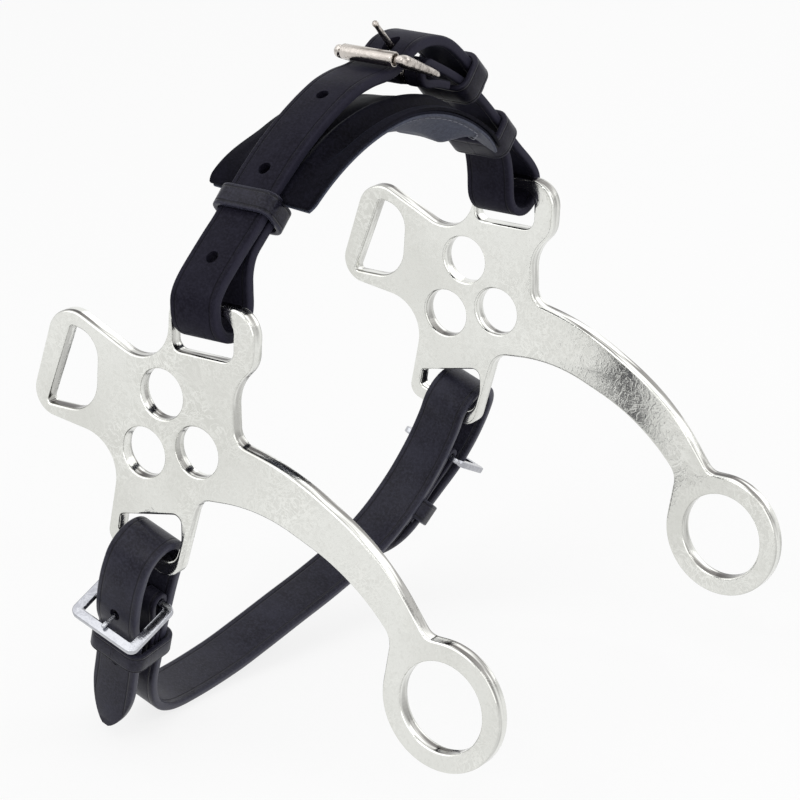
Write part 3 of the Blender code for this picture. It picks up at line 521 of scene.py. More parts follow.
def makeMetal(name, colour, deep, roughness, curls=0.6, streaks=0.0, bumpBy=0.00002, wallShadeColour=None):
    # polished metal: thin buffing curls, a soft cloudiness, fine pits, and on a plate dark walls that are
    # painted shade (a painted dark reflection, darkest where a wall looks up), streaked with saw grooves
    made, tree, shader = newMaterial(name)
    place = objectPlace(tree)
    buffing = useGroup(tree, curlGroup, place)
    cloud = rampOf(tree, buffing["Cloud"], (0.35, 0.68, 0.0, 1.0))
    mark = times(tree, buffing["Curls"], times(tree, cloud, curls))
    tone = rampOf(tree, noise(tree, place, 17, 2, 0.45, 0.5), (0.36, 0.62, 0.0, 0.55))
    pits = noise(tree, place, 800, 4, 0.6, 0.8)
    face = mixColour(tree, tone, colour, deep)
    face = mixColour(tree, times(tree, cloud, 0.3), face, deep)
    face = mixColour(tree, mark, face, tinted(colour, 1.13))
    face = mixColour(tree, rampOf(tree, pits, (0.50, 0.72, 0.0, curls * 0.4)), face, deep)
    height = plus(tree, buffing["Curls"], pits)
    if streaks:
        drawn = noise(tree, stretched(tree, place, (0.06, 1, 1)), 620, 3)
        height = plus(tree, height, times(tree, drawn, streaks))
        face = mixColour(tree, rampOf(tree, drawn, (0.47, 0.66, 0.0, 0.8)), face, tinted(deep, 0.35))
    if wallShadeColour:
        # painted shade: walls and eased edges are painted towards the dark wall colour by the per-face share,
        # with saw-groove streaks
        side = tree.nodes.new("ShaderNodeAttribute")
        side.attribute_name = "paintedWallShade"
        grooves = noise(tree, stretched(tree, place, (45, 480, 45)), 1.0, 2.0, 0.5)
        wall = mixColour(tree, rampOf(tree, grooves, (0.42, 0.60, 0.0, 1.0)), wallShadeColour, colour)
        face = mixColour(tree, side.outputs["Fac"], face, wall)
    tree.links.new(face, shader.inputs["Base Color"])
    gloss = rampOf(tree, buffing["Cloud"], (0.3, 0.75, roughness * 0.8, roughness * 1.5))
    tree.links.new(gloss, shader.inputs["Roughness"])
    addBump(tree, shader, height, bumpBy, 0.5)
    shader.inputs["Metallic"].default_value = 1.0
    return made


def makeThread(name, colour):
    made, tree, shader = newMaterial(name)
    twist = noise(tree, objectPlace(tree), 2600, 2, 0.5)
    face = mixColour(tree, twist, tinted(colour, 0.6), tinted(colour, 1.3))
    tree.links.new(face, shader.inputs["Base Color"])
    addBump(tree, shader, twist, 0.00008, 1.0)
    shader.inputs["Roughness"].default_value = 0.6
    return made


navy = (0.0070, 0.0062, 0.0115)
bloom = (0.021, 0.0200, 0.032)
curbNavy = (0.0100, 0.0092, 0.0155)
curbBloom = (0.033, 0.033, 0.050)
padBlack = (0.0012, 0.0010, 0.0022)
looks = {
    "strap": makeLeather("navyStrap", navy, bloom, 0.46, 2.1, 8.5, shine=0.14),
    "curbStrap": makeLeather("navyCurbStrap", curbNavy, curbBloom, 0.34, 2.0, 8.0, shine=0.45),
    "keeper": makeLeather("navyKeeper", navy, curbBloom, 0.28, 1.2, 3.75, shine=0.45),
    "wideKeeper": makeLeather("navyWideKeeper", navy, bloom, 0.34, 1.4, 4.75, shine=0.35),
    "pad": makeLeather("padLeather", padBlack, (0.009, 0.0085, 0.0145), 0.50, bumpBy=0.00010, shine=0.06),
    "filler": makeLeather("padFiller", (0.009, 0.009, 0.015), (0.022, 0.023, 0.036), 0.60,
                          bumpBy=0.00012, shine=0.08),
    "lining": makeLeather("padLining", (0.034, 0.037, 0.056), (0.080, 0.088, 0.120), 0.50, bumpBy=0.00010),
    # the steel's last colour is the painted shade of the plate walls
    "steel": makeMetal("polishedSteel", (0.80, 0.805, 0.770), (0.61, 0.61, 0.57), 0.13, 0.9,
                       wallShadeColour=(0.050, 0.043, 0.041)),
    "nickel": makeMetal("nickelPlate", (0.64, 0.60, 0.56), (0.32, 0.28, 0.25), 0.20, 0.5, 1.6, 0.00005),
    "chrome": makeMetal("chromePlate", (0.52, 0.53, 0.56), (0.17, 0.17, 0.20), 0.14, 0.6),
    "thread": makeThread("waxedThread", (0.0075, 0.0070, 0.0115)),
    "paleThread": makeThread("paleThread", (0.150, 0.155, 0.190)),
}
print("materials made")


def dress(piece, look):
    piece.data.materials.clear()
    piece.data.materials.append(looks[look])
    return piece


def standIn(piece, body, node):
    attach(piece, body)
    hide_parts(node)


cheek = {
    "thickness": 5.0, "spread": 164.4, "edge": 0.85, "holeRadius": 8.0,
    "holes": ((0.0, 0.0), (-20.2, -4.1), (-12.9, 15.9)),
    "ring": (88.0, -61.0), "ringOuter": 20.6, "ringHole": 14.4, "ringLean": 10.4, "ringRise": 38.5,
    "noseSlotLeft": -8.35, "noseSlotRight": 14.35, "noseSlotFloor": 30.7, "noseSlotRoof": 44.3, "noseTop": 47.8,
    "curbTop": 2.95, "curbLow": -1.7, "curbSlotLeft": -17.1, "curbSlotRight": 4.9, "curbLeg": 3.6,
    "shankLeg": 2.6, "curbSlotHeight": 17.6, "curbLoopRise": 30.2,
    # the wall numbers set the plate walls' painted shade: the turn where it starts, its gain, its least share,
    # and the extra painted dark on faces that look up
    "wallTurn": 0.97, "wallGain": 1.25, "wallShade": 0.34, "wallUpShade": 0.60,
}


def curbSpot(across, up):
    # from the curb bench, out and up along its tilt, to the plate's own drawing
    return (curbBar[0] + across * cos(curbTilt) + up * sin(curbTilt),
            curbBar[1] - across * sin(curbTilt) + up * cos(curbTilt))


def cheekOutline():
    left = cheek["noseSlotLeft"]
    right = cheek["noseSlotRight"]
    top = cheek["noseTop"]
    ringX, ringZ = cheek["ring"]
    ring = cheek["ringOuter"]
    lean = radians(cheek["ringLean"])
    foot = ringX - ring / cos(lean) - ring * tan(lean)
    corners = [(-64.6, 1.9, 8), (-52.6, 39.6, 9.3), (left - 2.7, 20.3, 11.9),
               (left - 0.8, top, 6.8), (right + 8.2, top, 8.5), (right + 7.2, 30.8, 9), (right - 0.5, 22.5, 14),
               (right - 0.1, 5.6, 5.5), (34.0, 0.9, 90), (66.4, -17.6, 80), (82.4, ringZ + ring, 5),
               (ringX + ring, ringZ + ring, ring), (ringX + ring, ringZ - ring, ring),
               (foot, ringZ - ring, ring),
               (foot + cheek["ringRise"] * tan(lean), ringZ - ring + cheek["ringRise"], 7),
               (56.5, -27.3, 70), (22.6, -13.4, 55)]
    low = cheek["curbLow"]
    rise = cheek["curbLoopRise"]
    curbLeft = cheek["curbSlotLeft"] - cheek["curbLeg"]
    curbRight = cheek["curbSlotRight"] + cheek["shankLeg"]
    for across, up, radius in ((curbRight - 1.9, rise - 1.5, 7.5), (curbRight, low, 6),
                               (curbLeft + 0.4, low - 0.3, 4.5), (curbLeft - 4.6, rise, 13)):
        corners.append((*curbSpot(across, up), radius))
    return rounded(corners, 16)


def cheekOpenings():
    left = cheek["noseSlotLeft"]
    right = cheek["noseSlotRight"]
    openings = [rounded([(-57.8, 4.4, 1.2), (-47.4, 31.4, 1.2), (-36.7, 29.8, 8.5), (-38.5, 4.4, 10.5)], 12),
                rounded([(left, cheek["noseSlotFloor"], 3), (left, cheek["noseSlotRoof"], 4.5),
                         (right, cheek["noseSlotRoof"], 4.5), (right, cheek["noseSlotFloor"], 4)], 8)]
    low = cheek["curbTop"]
    high = low + cheek["curbSlotHeight"]
    near = cheek["curbSlotLeft"]
    away = cheek["curbSlotRight"]
    curb = ((near, low, 1.5), (near - 1.0, low + 5.6, 1.5), (away - 2.9, high, 2.5), (away, low + 9.5, 9),
            (away, low, 4.5))
    openings.append(rounded([(*curbSpot(across, up), radius) for across, up, radius in curb], 8))
    openings += [arcOf(centre, cheek["holeRadius"], 0, 360, 56)[:-1] for centre in cheek["holes"]]
    openings.append(arcOf(cheek["ring"], cheek["ringHole"], 0, 360, 80)[:-1])
    return openings


def makeCheek(name, side):
    plate = cutPlate(name, [cheekOutline()] + cheekOpenings(), cheek["thickness"], cheek["edge"], 4)
    setPlace(plate, placeAt(benchPlace, (0, side * cheek["spread"] / 2, 0), pi / 2, "X"))
    smooth(plate, 30)
    return dress(plate, "steel")


def paintWallShade(plate):
    # painted shade for the walls: how far each face turns from the plate's flat; those that look up are painted
    # darkest, as a dark reflection from above
    layer = plate.data.attributes.new("paintedWallShade", "FLOAT", "CORNER")
    for face in plate.data.polygons:
        turned = max(0.0, cheek["wallTurn"] - abs(face.normal.y)) / cheek["wallTurn"]
        shade = cheek["wallShade"] + cheek["wallUpShade"] * max(0.0, face.normal.z)
        share = min(1.0, cheek["wallGain"] * turned) * shade
        for corner in face.loop_indices:
            layer.data[corner].value = share


for label, side in (("near", -1), ("far", 1)):
    plate = makeCheek(f"{label}CheekPlate", side)
    paintWallShade(plate)
    standIn(plate, f"{label}_cheek", f"{label}_cheek_plate")
print("cheek plates made")


noseband = {
    "width": 17.0, "thickness": 3.5, "buckleThickness": 2.8, "middle": 3.0, "barY": 82.2, "barZ": 46.05,
    "loopOuter": 87.35, "loopFoot": 45.05, "loopInner": 71.2,
    "nearInner": ((0.8674, 49.5), (0.8655, 54.5), (0.8418, 59.6), (0.7908, 63.4), (0.7299, 67.2),
                  (0.7056, 68.7)),
    "nearOuter": ((1.0596, 49.6), (1.0219, 53.9), (0.9465, 59.0), (0.866, 64.0), (0.802, 67.8), (0.7397, 72.3),
                  (0.6813, 76.5), (0.6277, 79.9), (0.5414, 84.8), (0.444, 89.4), (0.3504, 93.1), (0.2676, 95.9),
                  (0.1825, 98.1), (0.0852, 99.2)),
    "billetStart": ((2.0, 99.5), (9.0, 101.4), (16.0, 104.9), (25.0, 105.5)),
    "billetEnd": ((0.4136, 102.8), (0.5109, 97.2), (0.59, 91.2), (0.663, 85.4), (0.736, 79.9)),
    "holes": ((-77.8, 59.0), (-51.6, 79.9), (-22.0, 95.9)), "punch": 1.9, "stretch": 1.15, "tip": 13.0,
    "tongueHole": (14.2, 104.2), "tonguePunch": 2.0, "tongueStretch": 2.35, "slotReach": 7.5, "slotHalf": 2.0,
    "farOuter": ((0.438, 92.4), (0.5839, 85.0), (0.7056, 76.6), (0.809, 68.2), (0.9124, 60.0), (1.0036, 53.3),
                 (1.0523, 48.5)),
    "farInner": ((0.8625, 50.5), (0.8431, 57.5), (0.7956, 63.2), (0.7238, 67.4), (0.6837, 69.2)),
    "under": ((34.2, 89.2), (28.5, 91.0), (22.5, 92.1)), "chapeBar": (23.017, 95.405), "foldRadius": 3.3,
}


def shares(knots, side=1):
    return [(side * share * noseband["barY"], z) for share, z in knots]


def endLoopArc(side):
    radius = (noseband["loopOuter"] - noseband["loopInner"]) / 2
    middle = (side * (noseband["loopOuter"] + noseband["loopInner"]) / 2, noseband["loopFoot"])
    return arcOf(middle, radius, 0, -180, 10)


noseLine = smoothRun([*reversed(shares(noseband["nearInner"], -1)), *endLoopArc(-1),
                      *shares(noseband["nearOuter"], -1), *noseband["billetStart"],
                      *shares(noseband["billetEnd"])])
noseHoles = [(alongLine(noseLine, spot), noseband["punch"], noseband["stretch"]) for spot in noseband["holes"]]
noseHoles.append((alongLine(noseLine, noseband["tongueHole"]), noseband["tonguePunch"],
                  noseband["tongueStretch"]))
noseStrap = bentStrap("nosebandStrap", noseLine, noseband["middle"], noseband["width"], noseband["thickness"],
                      nosePlace, edge=0.9, holes=noseHoles, tips=(False, True), tipLength=noseband["tip"])
dress(noseStrap, "strap")
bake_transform(noseStrap)
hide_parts("noseband_strap", "near_strap_end")

foldArc = arcOf(noseband["chapeBar"], noseband["foldRadius"], -110, -285, 10)
buckleLine = smoothRun([*noseband["under"], *foldArc, *shares(noseband["farOuter"]), *endLoopArc(1),
                        *shares(noseband["farInner"])])
fold = alongLine(buckleLine, foldArc[5])
buckleStrap = bentStrap("buckleStrap", buckleLine, noseband["middle"], noseband["width"],
                        noseband["buckleThickness"], nosePlace,
                        slot=(fold - noseband["slotReach"], fold + noseband["slotReach"], noseband["slotHalf"]))
dress(buckleStrap, "strap")
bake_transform(buckleStrap)
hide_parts("buckle_strap", "far_strap_end")
print("noseband straps made")


keepers = {
    "thickness": 1.8, "corner": 2.4, "clearance": 0.6,
    "near": {"spot": (-60.89, 72.23), "turn": 41.7, "low": -7.9, "high": 2.35, "width": 7.5},
    "far": {"spot": (66.45, 68.25), "turn": -44.7, "low": -7.6, "high": 2.0, "width": 9.5},
    "billet": {"spot": (48.79, 90.92), "turn": -44.0, "low": -8.4, "high": 2.35, "width": 9.5},
    "nearCurb": {"spot": (-73.88, -31.48), "turn": -78.6, "low": -13.69, "high": 2.2, "width": 6.6},
    "farCurb": {"spot": (67.31, -31.41), "turn": -125.9, "low": 3.5, "high": 11.35, "width": 7.5},
}


def makeKeeper(name, size, strap, bench, look):
    # a leather strip wrapped round the straps, its ends meeting underneath
    half = strap["width"] / 2 + keepers["clearance"] + keepers["thickness"] / 2
    low = size["low"] - keepers["thickness"] / 2
    high = size["high"] + keepers["thickness"] / 2
    corner = keepers["corner"] + keepers["thickness"] / 2
    loop = rounded([(-half, low, corner), (half, low, corner), (half, high, corner), (-half, high, corner)], 8)
    start = Vector((0.05, low))
    end = Vector((-0.05, low))
    first = min(range(len(loop)), key=lambda n: (loop[n] - start).length if loop[n].x > 0 else 1e9)
    ordered = loop[first:] + loop[:first]
    line = evenSteps([start] + ordered + [end], 0.5)
    place = placeAt(bench, (strap["middle"], *size["spot"]), radians(size["turn"]), "X") @ layOver
    keeper = bentStrap(name, line, 0.0, size["width"], keepers["thickness"], place, edge=0.5, spacing=0.8)
    keeper.data.flip_normals()
    return dress(keeper, look)


for label, look in (("near", "keeper"), ("far", "wideKeeper"), ("billet", "wideKeeper")):
    keeper = makeKeeper(label + "Keeper", keepers[label], noseband, benchPlace, look)
    standIn(keeper, "noseband", label + "_keeper")
print("noseband keepers made")


pad = {
    "radius": 81.0, "halfAngle": 38.5, "centre": (4.0, -5.0, 8.1), "width": 41.0, "rim": 0.25,
    "lining": 0.8, "filler": 0.8, "leather": 1.0, "gap": 0.06, "columns": 110, "rows": 44,
    "lean": 0.03, "skew": 0.11, "middleSag": 0.5, "backDroop": 4.4, "ridge": 1.7, "ridgeAt": 0.46,
    "ridgeHalf": 0.16, "hollow": 2.6, "hollowAt": 0.69, "hollowHalf": 0.17, "strapDent": 0.5,
    "under": 6.6, "farUnder": 3.4,
    "farFrom": 0.74, "nearFrom": 0.93, "farNarrow": 0.42, "earNarrow": 0.12, "earTurn": 4.0, "earDroop": 4.6,
}


def padSpot(along, across, height, inset):
    # along and across run from -1 to 1 over the pad; height is measured up from the rim's underside
    half = pad["width"] / 2 - inset
    reach = radians(pad["halfAngle"]) - inset / pad["radius"]
    far = max(0.0, (along - pad["farFrom"]) / (1 - pad["farFrom"]))
    near = max(0.0, (-along - pad["nearFrom"]) / (1 - pad["nearFrom"]))
    ear = max(0.0, across) ** 1.5                     # the far end reaches on and droops on the front edge
    corner = 1 - 0.5 * max(0.0, across) ** 6          # and its corner there is round
    narrow = 1 - (pad["earNarrow"] if across > 0 else pad["farNarrow"]) * far ** 2.2 - 0.05 * near ** 2
    x = half * across * narrow
    nearShare = (1 - along) / 2
    turn = reach * along - radians(1.5) * far * max(0.0, -across) ** 3
    turn += radians(pad["earTurn"]) * far * ear * corner
    radius = pad["radius"] + height - pad["middleSag"] * (1 - along ** 2)
    radius -= pad["earDroop"] * ear * max(0.0, along) ** 1.3
    y = pad["centre"][1] + radius * sin(turn) - x * pad["skew"] * nearShare ** 2
    z = pad["centre"][2] + radius * cos(turn) - x * pad["lean"]
    return (Vector((pad["centre"][0] + x, y, z)) + benchZero) * mm


def window(value, half, soft):
    # 1 inside, falling smoothly to 0 over the soft part at each end
    share = min(1.0, max(0.0, (half - abs(value)) / soft))
    return share * share * (3 - 2 * share)


def bulge(value):
    # 1 in the middle, rounding down to 0 at -1 and 1
    return max(0.0, 1 - value ** 2) ** 2


def backDroop(along, across):
    # the back edge hangs lower than the front one
    return pad["backDroop"] * max(0.0, (0.15 - across) / 1.15) ** 1.2 * window(along, 0.97, 0.55)


def liningHeight(along, across):
    # the stuffing hangs below the sewn rim
    length = window(along, 0.95, 0.5) if along < 0 else window(along, 0.99, 0.34)
    swell = length * window(across - 0.04, 0.90, 0.55)
    depth = pad["under"] + pad["farUnder"] * max(0.0, along)
    return pad["lining"] - depth * swell - backDroop(along, across) * (1 - 0.6 * swell)


def fillerHeight(along, across):
    under = outerHeight(along, across) - pad["leather"] - pad["gap"]
    return min(under, pad["lining"] + pad["gap"] + pad["filler"] - backDroop(along, across))


def outerHeight(along, across):
    # a stuffed ridge beside the strap, a hollow, then the flat sewn rim
    height = pad["lining"] + pad["filler"] + pad["leather"] + 2 * pad["gap"] - backDroop(along, across)
    length = window(along, 0.88, 0.5)
    height += pad["ridge"] * length * bulge((across - pad["ridgeAt"]) / pad["ridgeHalf"])
    for side, depth in ((1, pad["hollow"]), (-1, pad["hollow"] / 2)):
        height -= depth * length * bulge((across - side * pad["hollowAt"]) / pad["hollowHalf"])
    return height - pad["strapDent"] * window(across, 0.5, 0.2)


def makePadSheet(name, height, thickness, inset, look):
    # a flat grid shaped to the pad's curve, with its thickness grown inwards
    bpy.ops.object.select_all(action="DESELECT")
    bpy.ops.mesh.primitive_grid_add(x_subdivisions=pad["columns"], y_subdivisions=pad["rows"], size=2)
    sheet = bpy.context.object
    sheet.name = name
    for vert in sheet.data.vertices:
        along, across = vert.co.x, vert.co.y
        vert.co = padSpot(along, across, height(along, across), inset)
    wall = sheet.modifiers.new("thickness", "SOLIDIFY")
    wall.thickness = thickness * mm
    wall.offset = -1
    easeRim(sheet, pad["rim"])
    smooth(sheet, 40)
    return dress(sheet, look)


for name, height, thickness, inset, look, slot, node, fill in (
        ("nosePadOuter", outerHeight, pad["leather"], 0.0, "pad", "leather", "nose_pad_outer", 0.6),
        ("nosePadFiller", fillerHeight, pad["filler"], 0.7, "filler", "leather", "nose_pad_padding", 0.5),
        ("nosePadLining", liningHeight, pad["lining"], 0.3, "lining", "lining", "nose_pad_lining", 0.4)):
    sheet = makePadSheet(name, height, thickness, inset, look)
    standIn(sheet, "noseband", node)


stitches = {"length": 2.3, "pitch": 3.3, "radius": 0.24, "margin": 0.925, "endMargin": 0.955}


def makeStitchRow(name, spots, look, body):
    # one waxed stitch, copied along the row; each spot is a middle, the way the row runs and the way it faces
    radius, length = stitches["radius"], stitches["length"]
    onlySelect(None)
    bpy.ops.mesh.primitive_cylinder_add(vertices=8, radius=radius * mm, depth=length * mm)
    model = bpy.context.object
    bpy.ops.object.mode_set(mode="EDIT")
    pick("FACE", lambda face: abs(face.normal.z) > 0.9)
    bpy.ops.mesh.inset(thickness=radius * 0.45 * mm)
    bpy.ops.mesh.select_all(action="DESELECT")
    bpy.ops.object.mode_set(mode="OBJECT")
    for vert in model.data.vertices:
        vert.co.y *= 1 - 0.35 * (abs(vert.co.z) / (length * mm / 2)) ** 2
    copies = []
    for spot, run, facing in spots:
        copy = model.copy()
        copy.data = model.data.copy()
        bpy.context.collection.objects.link(copy)
        side = run.cross(facing).normalized()
        turn = Matrix((side, facing, run)).transposed().to_4x4()
        copy.data.transform(Matrix.Translation(spot) @ turn)
        copies.append(copy)
    remove(model)
    onlySelect(copies[0])
    for copy in copies:
        copy.select_set(True)
    bpy.ops.object.join()
    row = bpy.context.object
    row.name = name
    smooth(row, 50)
    dress(row, look)
    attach(row, body)


def padStitches(height, inset, facing):
    # a row inside the rim, all the way round, at an even pitch
    ring = []
    side, end = stitches["margin"], stitches["endMargin"]
    corners = ((-end, -side), (end * 0.80, -side), (end, -side * 0.55), (end, side * 0.55), (end * 0.80, side),
               (-end, side))
    for (along, across), (nextAlong, nextAcross) in zip(corners, corners[1:] + corners[:1]):
        for step in range(60):
            share = step / 60
            here = (along + (nextAlong - along) * share, across + (nextAcross - across) * share)
            ring.append(padSpot(*here, height(*here), inset) / mm)
    ring = evenSteps(ring + ring[:1], stitches["pitch"])
    centre = Vector(pad["centre"]) + benchZero
    spots = []
    for before, after in zip(ring, ring[1:]):
        middle = (before + after) / 2
        run = (after - before).normalized()
        outward = Vector((0, middle.y - centre.y, middle.z - centre.z)).normalized() * facing
        outward = (outward - run * outward.dot(run)).normalized()
        spots.append((middle * mm, run, outward))
    return spots


def liningFoot(along, across):
    return liningHeight(along, across) - pad["lining"]


makeStitchRow("padTopStitches", padStitches(outerHeight, 0.0, 1), "thread", "noseband")
makeStitchRow("padUnderStitches", padStitches(liningFoot, 0.3, -1), "paleThread", "noseband")
print("nose pad made")


rollerBuckle = {
    "hinge": (3.0, 23.017, 95.405), "slope": -23.4, "length": 22.9, "half": 12.5, "rollerHalf": 9.7,
    "wire": 1.4, "rollerBar": 1.2, "rollerRadius": 2.4, "tongueLength": 26.4, "tongueLift": 46.0,
    "tongueRadius": 1.1, "gap": 0.3,
}


def roundBar(name, run, closed):
    # a round wire along a run of (x, y, z, radius)
    data = bpy.data.curves.new(name, "CURVE")
    data.dimensions = "3D"
    data.bevel_depth = mm
    data.bevel_resolution = 6
    data.use_fill_caps = True
    spline = data.splines.new("POLY")
    spline.points.add(len(run) - 1)
    for point, spot in zip(spline.points, run):
        point.co = (*(Vector(spot[:3]) * mm), 1)
        point.radius = spot[3]
    spline.use_cyclic_u = closed
    made = bpy.data.objects.new(name, data)
    bpy.context.collection.objects.link(made)
    onlySelect(made)
    bpy.ops.object.convert(target="MESH")
    return bpy.context.object


def makeRollerBuckle():
    place = placeAt(benchPlace, rollerBuckle["hinge"], radians(rollerBuckle["slope"]) + pi, "X")
    half = rollerBuckle["half"]
    long = rollerBuckle["length"]
    reach = rollerBuckle["rollerHalf"]
    right = [(0, 0, 0, 1.15), (half - 3.2, 0, 0, 1.1), (half - 1.3, 0.5, 0, 1.0), (half - 0.3, 2.2, 0, 1.05),
             (half, long * 0.25, 0, 1.3), (half, long * 0.5, 0, 1.6), (half, long * 0.75, 0, 1.95),
             (half - 0.1, long - 2.0, 0, 2.1), (half - 0.7, long - 0.6, 0, 1.95), (reach + 1.4, long, 0, 1.6),
             (reach + 0.8, long, 0, 1.25), (reach, long, 0, rollerBuckle["rollerBar"])]
    ring = right + [(-x, y, z, r) for x, y, z, r in reversed(right[1:])]
    frameBar = roundBar("rollerBuckleFrame", smoothRun(ring + ring[:1], 0.7)[:-1], True)
    setPlace(frameBar, place)
    smooth(frameBar, 60)
    dress(frameBar, "nickel")
    standIn(frameBar, "roller_buckle", "roller_buckle_frame")

    # the roller: a sleeve with sunk ends and eased rims
    onlySelect(None)
    bpy.ops.mesh.primitive_cylinder_add(vertices=48, radius=rollerBuckle["rollerRadius"] * mm,
                                        depth=2 * reach * mm)
    sleeve = bpy.context.object
    sleeve.name = "buckleRoller"
    bpy.ops.object.mode_set(mode="EDIT")
    pick("FACE", lambda face: abs(face.normal.z) > 0.9)
    bpy.ops.mesh.inset(thickness=0.75 * mm)
    bpy.ops.mesh.extrude_region_move(TRANSFORM_OT_translate={"value": (0, 0, 0)})
    bpy.ops.transform.resize(value=(1, 1, 0.86))
    bpy.ops.object.mode_set(mode="OBJECT")
    easeRim(sleeve, 0.25)
    setPlace(sleeve, place @ Matrix.Translation((0, long * mm, 0)) @ Matrix.Rotation(pi / 2, 4, "Y"))
    smooth(sleeve, 40)
    dress(sleeve, "nickel")
    standIn(sleeve, "roller", "buckle_roller")


def makeTongue(name, place, wire, radius, reach, rise, look, body, node, ball=1.0):
    # wire bent round the bar and drawn out to a blunt tip
    eye = wire + rollerBuckle["gap"] + radius
    knots = []
    for turn in range(40, 321, 28):
        knots.append((0, eye * cos(radians(turn)), -eye * sin(radians(turn)), radius * 0.95))
    knots += [(0, eye + 1.3, radius * 0.15, radius), (0, reach * 0.4, rise * 0.4, radius),
              (0, reach * 0.8, rise * 0.8, radius * 0.84), (0, reach - 2.2, rise * 0.93, radius * 0.78),
              (0, reach - 1.0, rise * 0.97, radius * 0.82 * ball), (0, reach - 0.25, rise, radius * 0.7 * ball),
              (0, reach, rise, radius * 0.25)]
    tongue = roundBar(name, smoothRun(knots, 0.5), False)
    setPlace(tongue, place)
    smooth(tongue, 60)
    dress(tongue, look)
    standIn(tongue, body, node)


makeRollerBuckle()
makeTongue("rollerBuckleTongue",
           placeAt(benchPlace, rollerBuckle["hinge"], pi - radians(rollerBuckle["tongueLift"]), "X"),
           rollerBuckle["wire"], rollerBuckle["tongueRadius"], rollerBuckle["tongueLength"], 0.0, "nickel",
           "roller_tongue", "roller_buckle_tongue", 1.15)
print("roller buckle made")


curb = {
    "width": 16.0, "thickness": 3.0, "middle": -4.5, "tip": 19.0,
    "loopRadius": 8.8, "loopY": 86.2, "loopZ": 1.2,
    "nearBillet": ((-94.9, -5.0), (-93.4, -13.0), (-90.9, -20.5), (-87.0, -27.0), (-85.0, -34.0),
                   (-82.6, -43.0), (-80.0, -54.7), (-77.8, -67.0)),
    "run": ((-77.4, -5.0), (-76.4, -15.0), (-74.9, -26.0), (-72.6, -38.0), (-70.2, -50.0), (-64.2, -60.3),
            (-54.0, -65.8), (-39.0, -66.6), (-20.0, -65.0), (-5.0, -62.0), (12.0, -58.0), (30.0, -53.8),
            (46.0, -48.4), (59.0, -40.6), (69.0, -29.0), (75.0, -16.0), (77.3, -5.0)),
    "farBillet": ((94.7, -5.0), (92.6, -13.5), (88.2, -22.0), (81.6, -29.4), (75.0, -36.5), (66.0, -46.0),
                  (57.5, -52.6)),
    "tongueHoles": ((-91.8, -17.7), (90.2, -19.1)), "tonguePunch": 1.9,
    "spareHoles": ((-83.6, -38.6), (70.6, -41.2)), "sparePunch": 1.7, "stretch": 1.1,
}


def curbLoop(side):
    return arcOf((side * curb["loopY"], curb["loopZ"]), curb["loopRadius"], 180, 0, 10)


curbLine = smoothRun([*reversed(curb["nearBillet"]), *curbLoop(-1), *curb["run"], *curbLoop(1),
                      *curb["farBillet"]])
curbHoles = [(alongLine(curbLine, spot), curb[kind + "Punch"], curb["stretch"])
             for kind in ("tongue", "spare") for spot in curb[kind + "Holes"]]
curbStrap = bentStrap("curbStrap", curbLine, curb["middle"], curb["width"], curb["thickness"], curbPlace,
                      spacing=0.8, holes=curbHoles, tips=(True, True), tipLength=curb["tip"])
dress(curbStrap, "curbStrap")
standIn(curbStrap, "curb", "curb_strap")

for label in ("near", "far"):
    keeper = makeKeeper(label + "CurbKeeper", keepers[label + "Curb"], curb, curbBench, "keeper")
    standIn(keeper, "curb", label + "_curb_keeper")

chapes = {
    "width": 15.0, "thickness": 1.6, "slotBack": 5.5, "slotAhead": 4.5, "slotHalf": 1.8,
    "wornAt": 10.5, "wornReach": 4.6, "wornHalf": 2.4,
    "near": ((-74.7, -39.1), (-75.7, -35.2), (-76.6, -31.4), (-77.3, -27.5), (-77.9, -23.6), (-78.5, -19.6),
             (-78.9, -15.7), (-79.2, -13.7), (-79.7, -11.9), (-81.3, -10.8), (-83.2, -11.2), (-84.2, -12.9),
             (-83.9, -14.8), (-83.4, -16.7), (-82.6, -18.5), (-81.8, -20.3), (-81.0, -22.1), (-80.3, -24.0),
             (-79.7, -25.9), (-79.3, -27.8), (-78.6, -31.7), (-77.7, -35.6), (-77.2, -37.5)),
    "far": ((64.8, -38.6), (67.4, -35.6), (69.8, -32.4), (72.0, -29.1), (73.9, -25.6), (75.5, -21.9),
            (77.0, -18.2), (77.6, -16.3), (78.3, -14.4), (79.8, -13.3), (81.7, -13.6), (82.8, -15.1),
            (82.5, -17.0), (81.7, -18.9), (80.7, -20.6), (79.5, -22.2), (78.2, -23.7), (77.0, -25.3),
            (75.7, -26.9), (73.6, -30.2), (71.5, -33.6), (69.1, -36.8), (67.8, -38.3)),
}

for label in ("near", "far"):
    chapeLine = smoothRun(chapes[label], 0.6)
    fold = alongLine(chapeLine, chapes[label][10])
    chape = bentStrap(label + "CurbChape", chapeLine, curb["middle"], chapes["width"], chapes["thickness"],
                      curbPlace, edge=0.4,
                      slot=(fold - chapes["slotBack"], fold + chapes["slotAhead"], chapes["slotHalf"]))
    looks[label + "Chape"] = makeLeather(label + "ChapeLeather", navy, bloom, 0.42, 1.6, 7.5,
                                         raw=(fold + chapes["wornAt"], chapes["wornReach"], chapes["wornHalf"]))
    dress(chape, label + "Chape")
    standIn(chape, "curb", label + "_curb_chape")
print("curb strap made")


curbBuckles = {
    "half": 11.0, "depth": 17.5, "wire": 1.2, "tongue": 0.9, "corner": 2.6, "past": 0.8, "thick": 2.1,
    "edge": 0.4, "flange": 0.8,
    "near": {"hinge": (-4.5, -81.734, -13.246), "turn": -148.7, "rise": -2.4},
    "far": {"hinge": (-4.5, 80.41, -15.655), "turn": -26.82, "rise": 2.4},
}


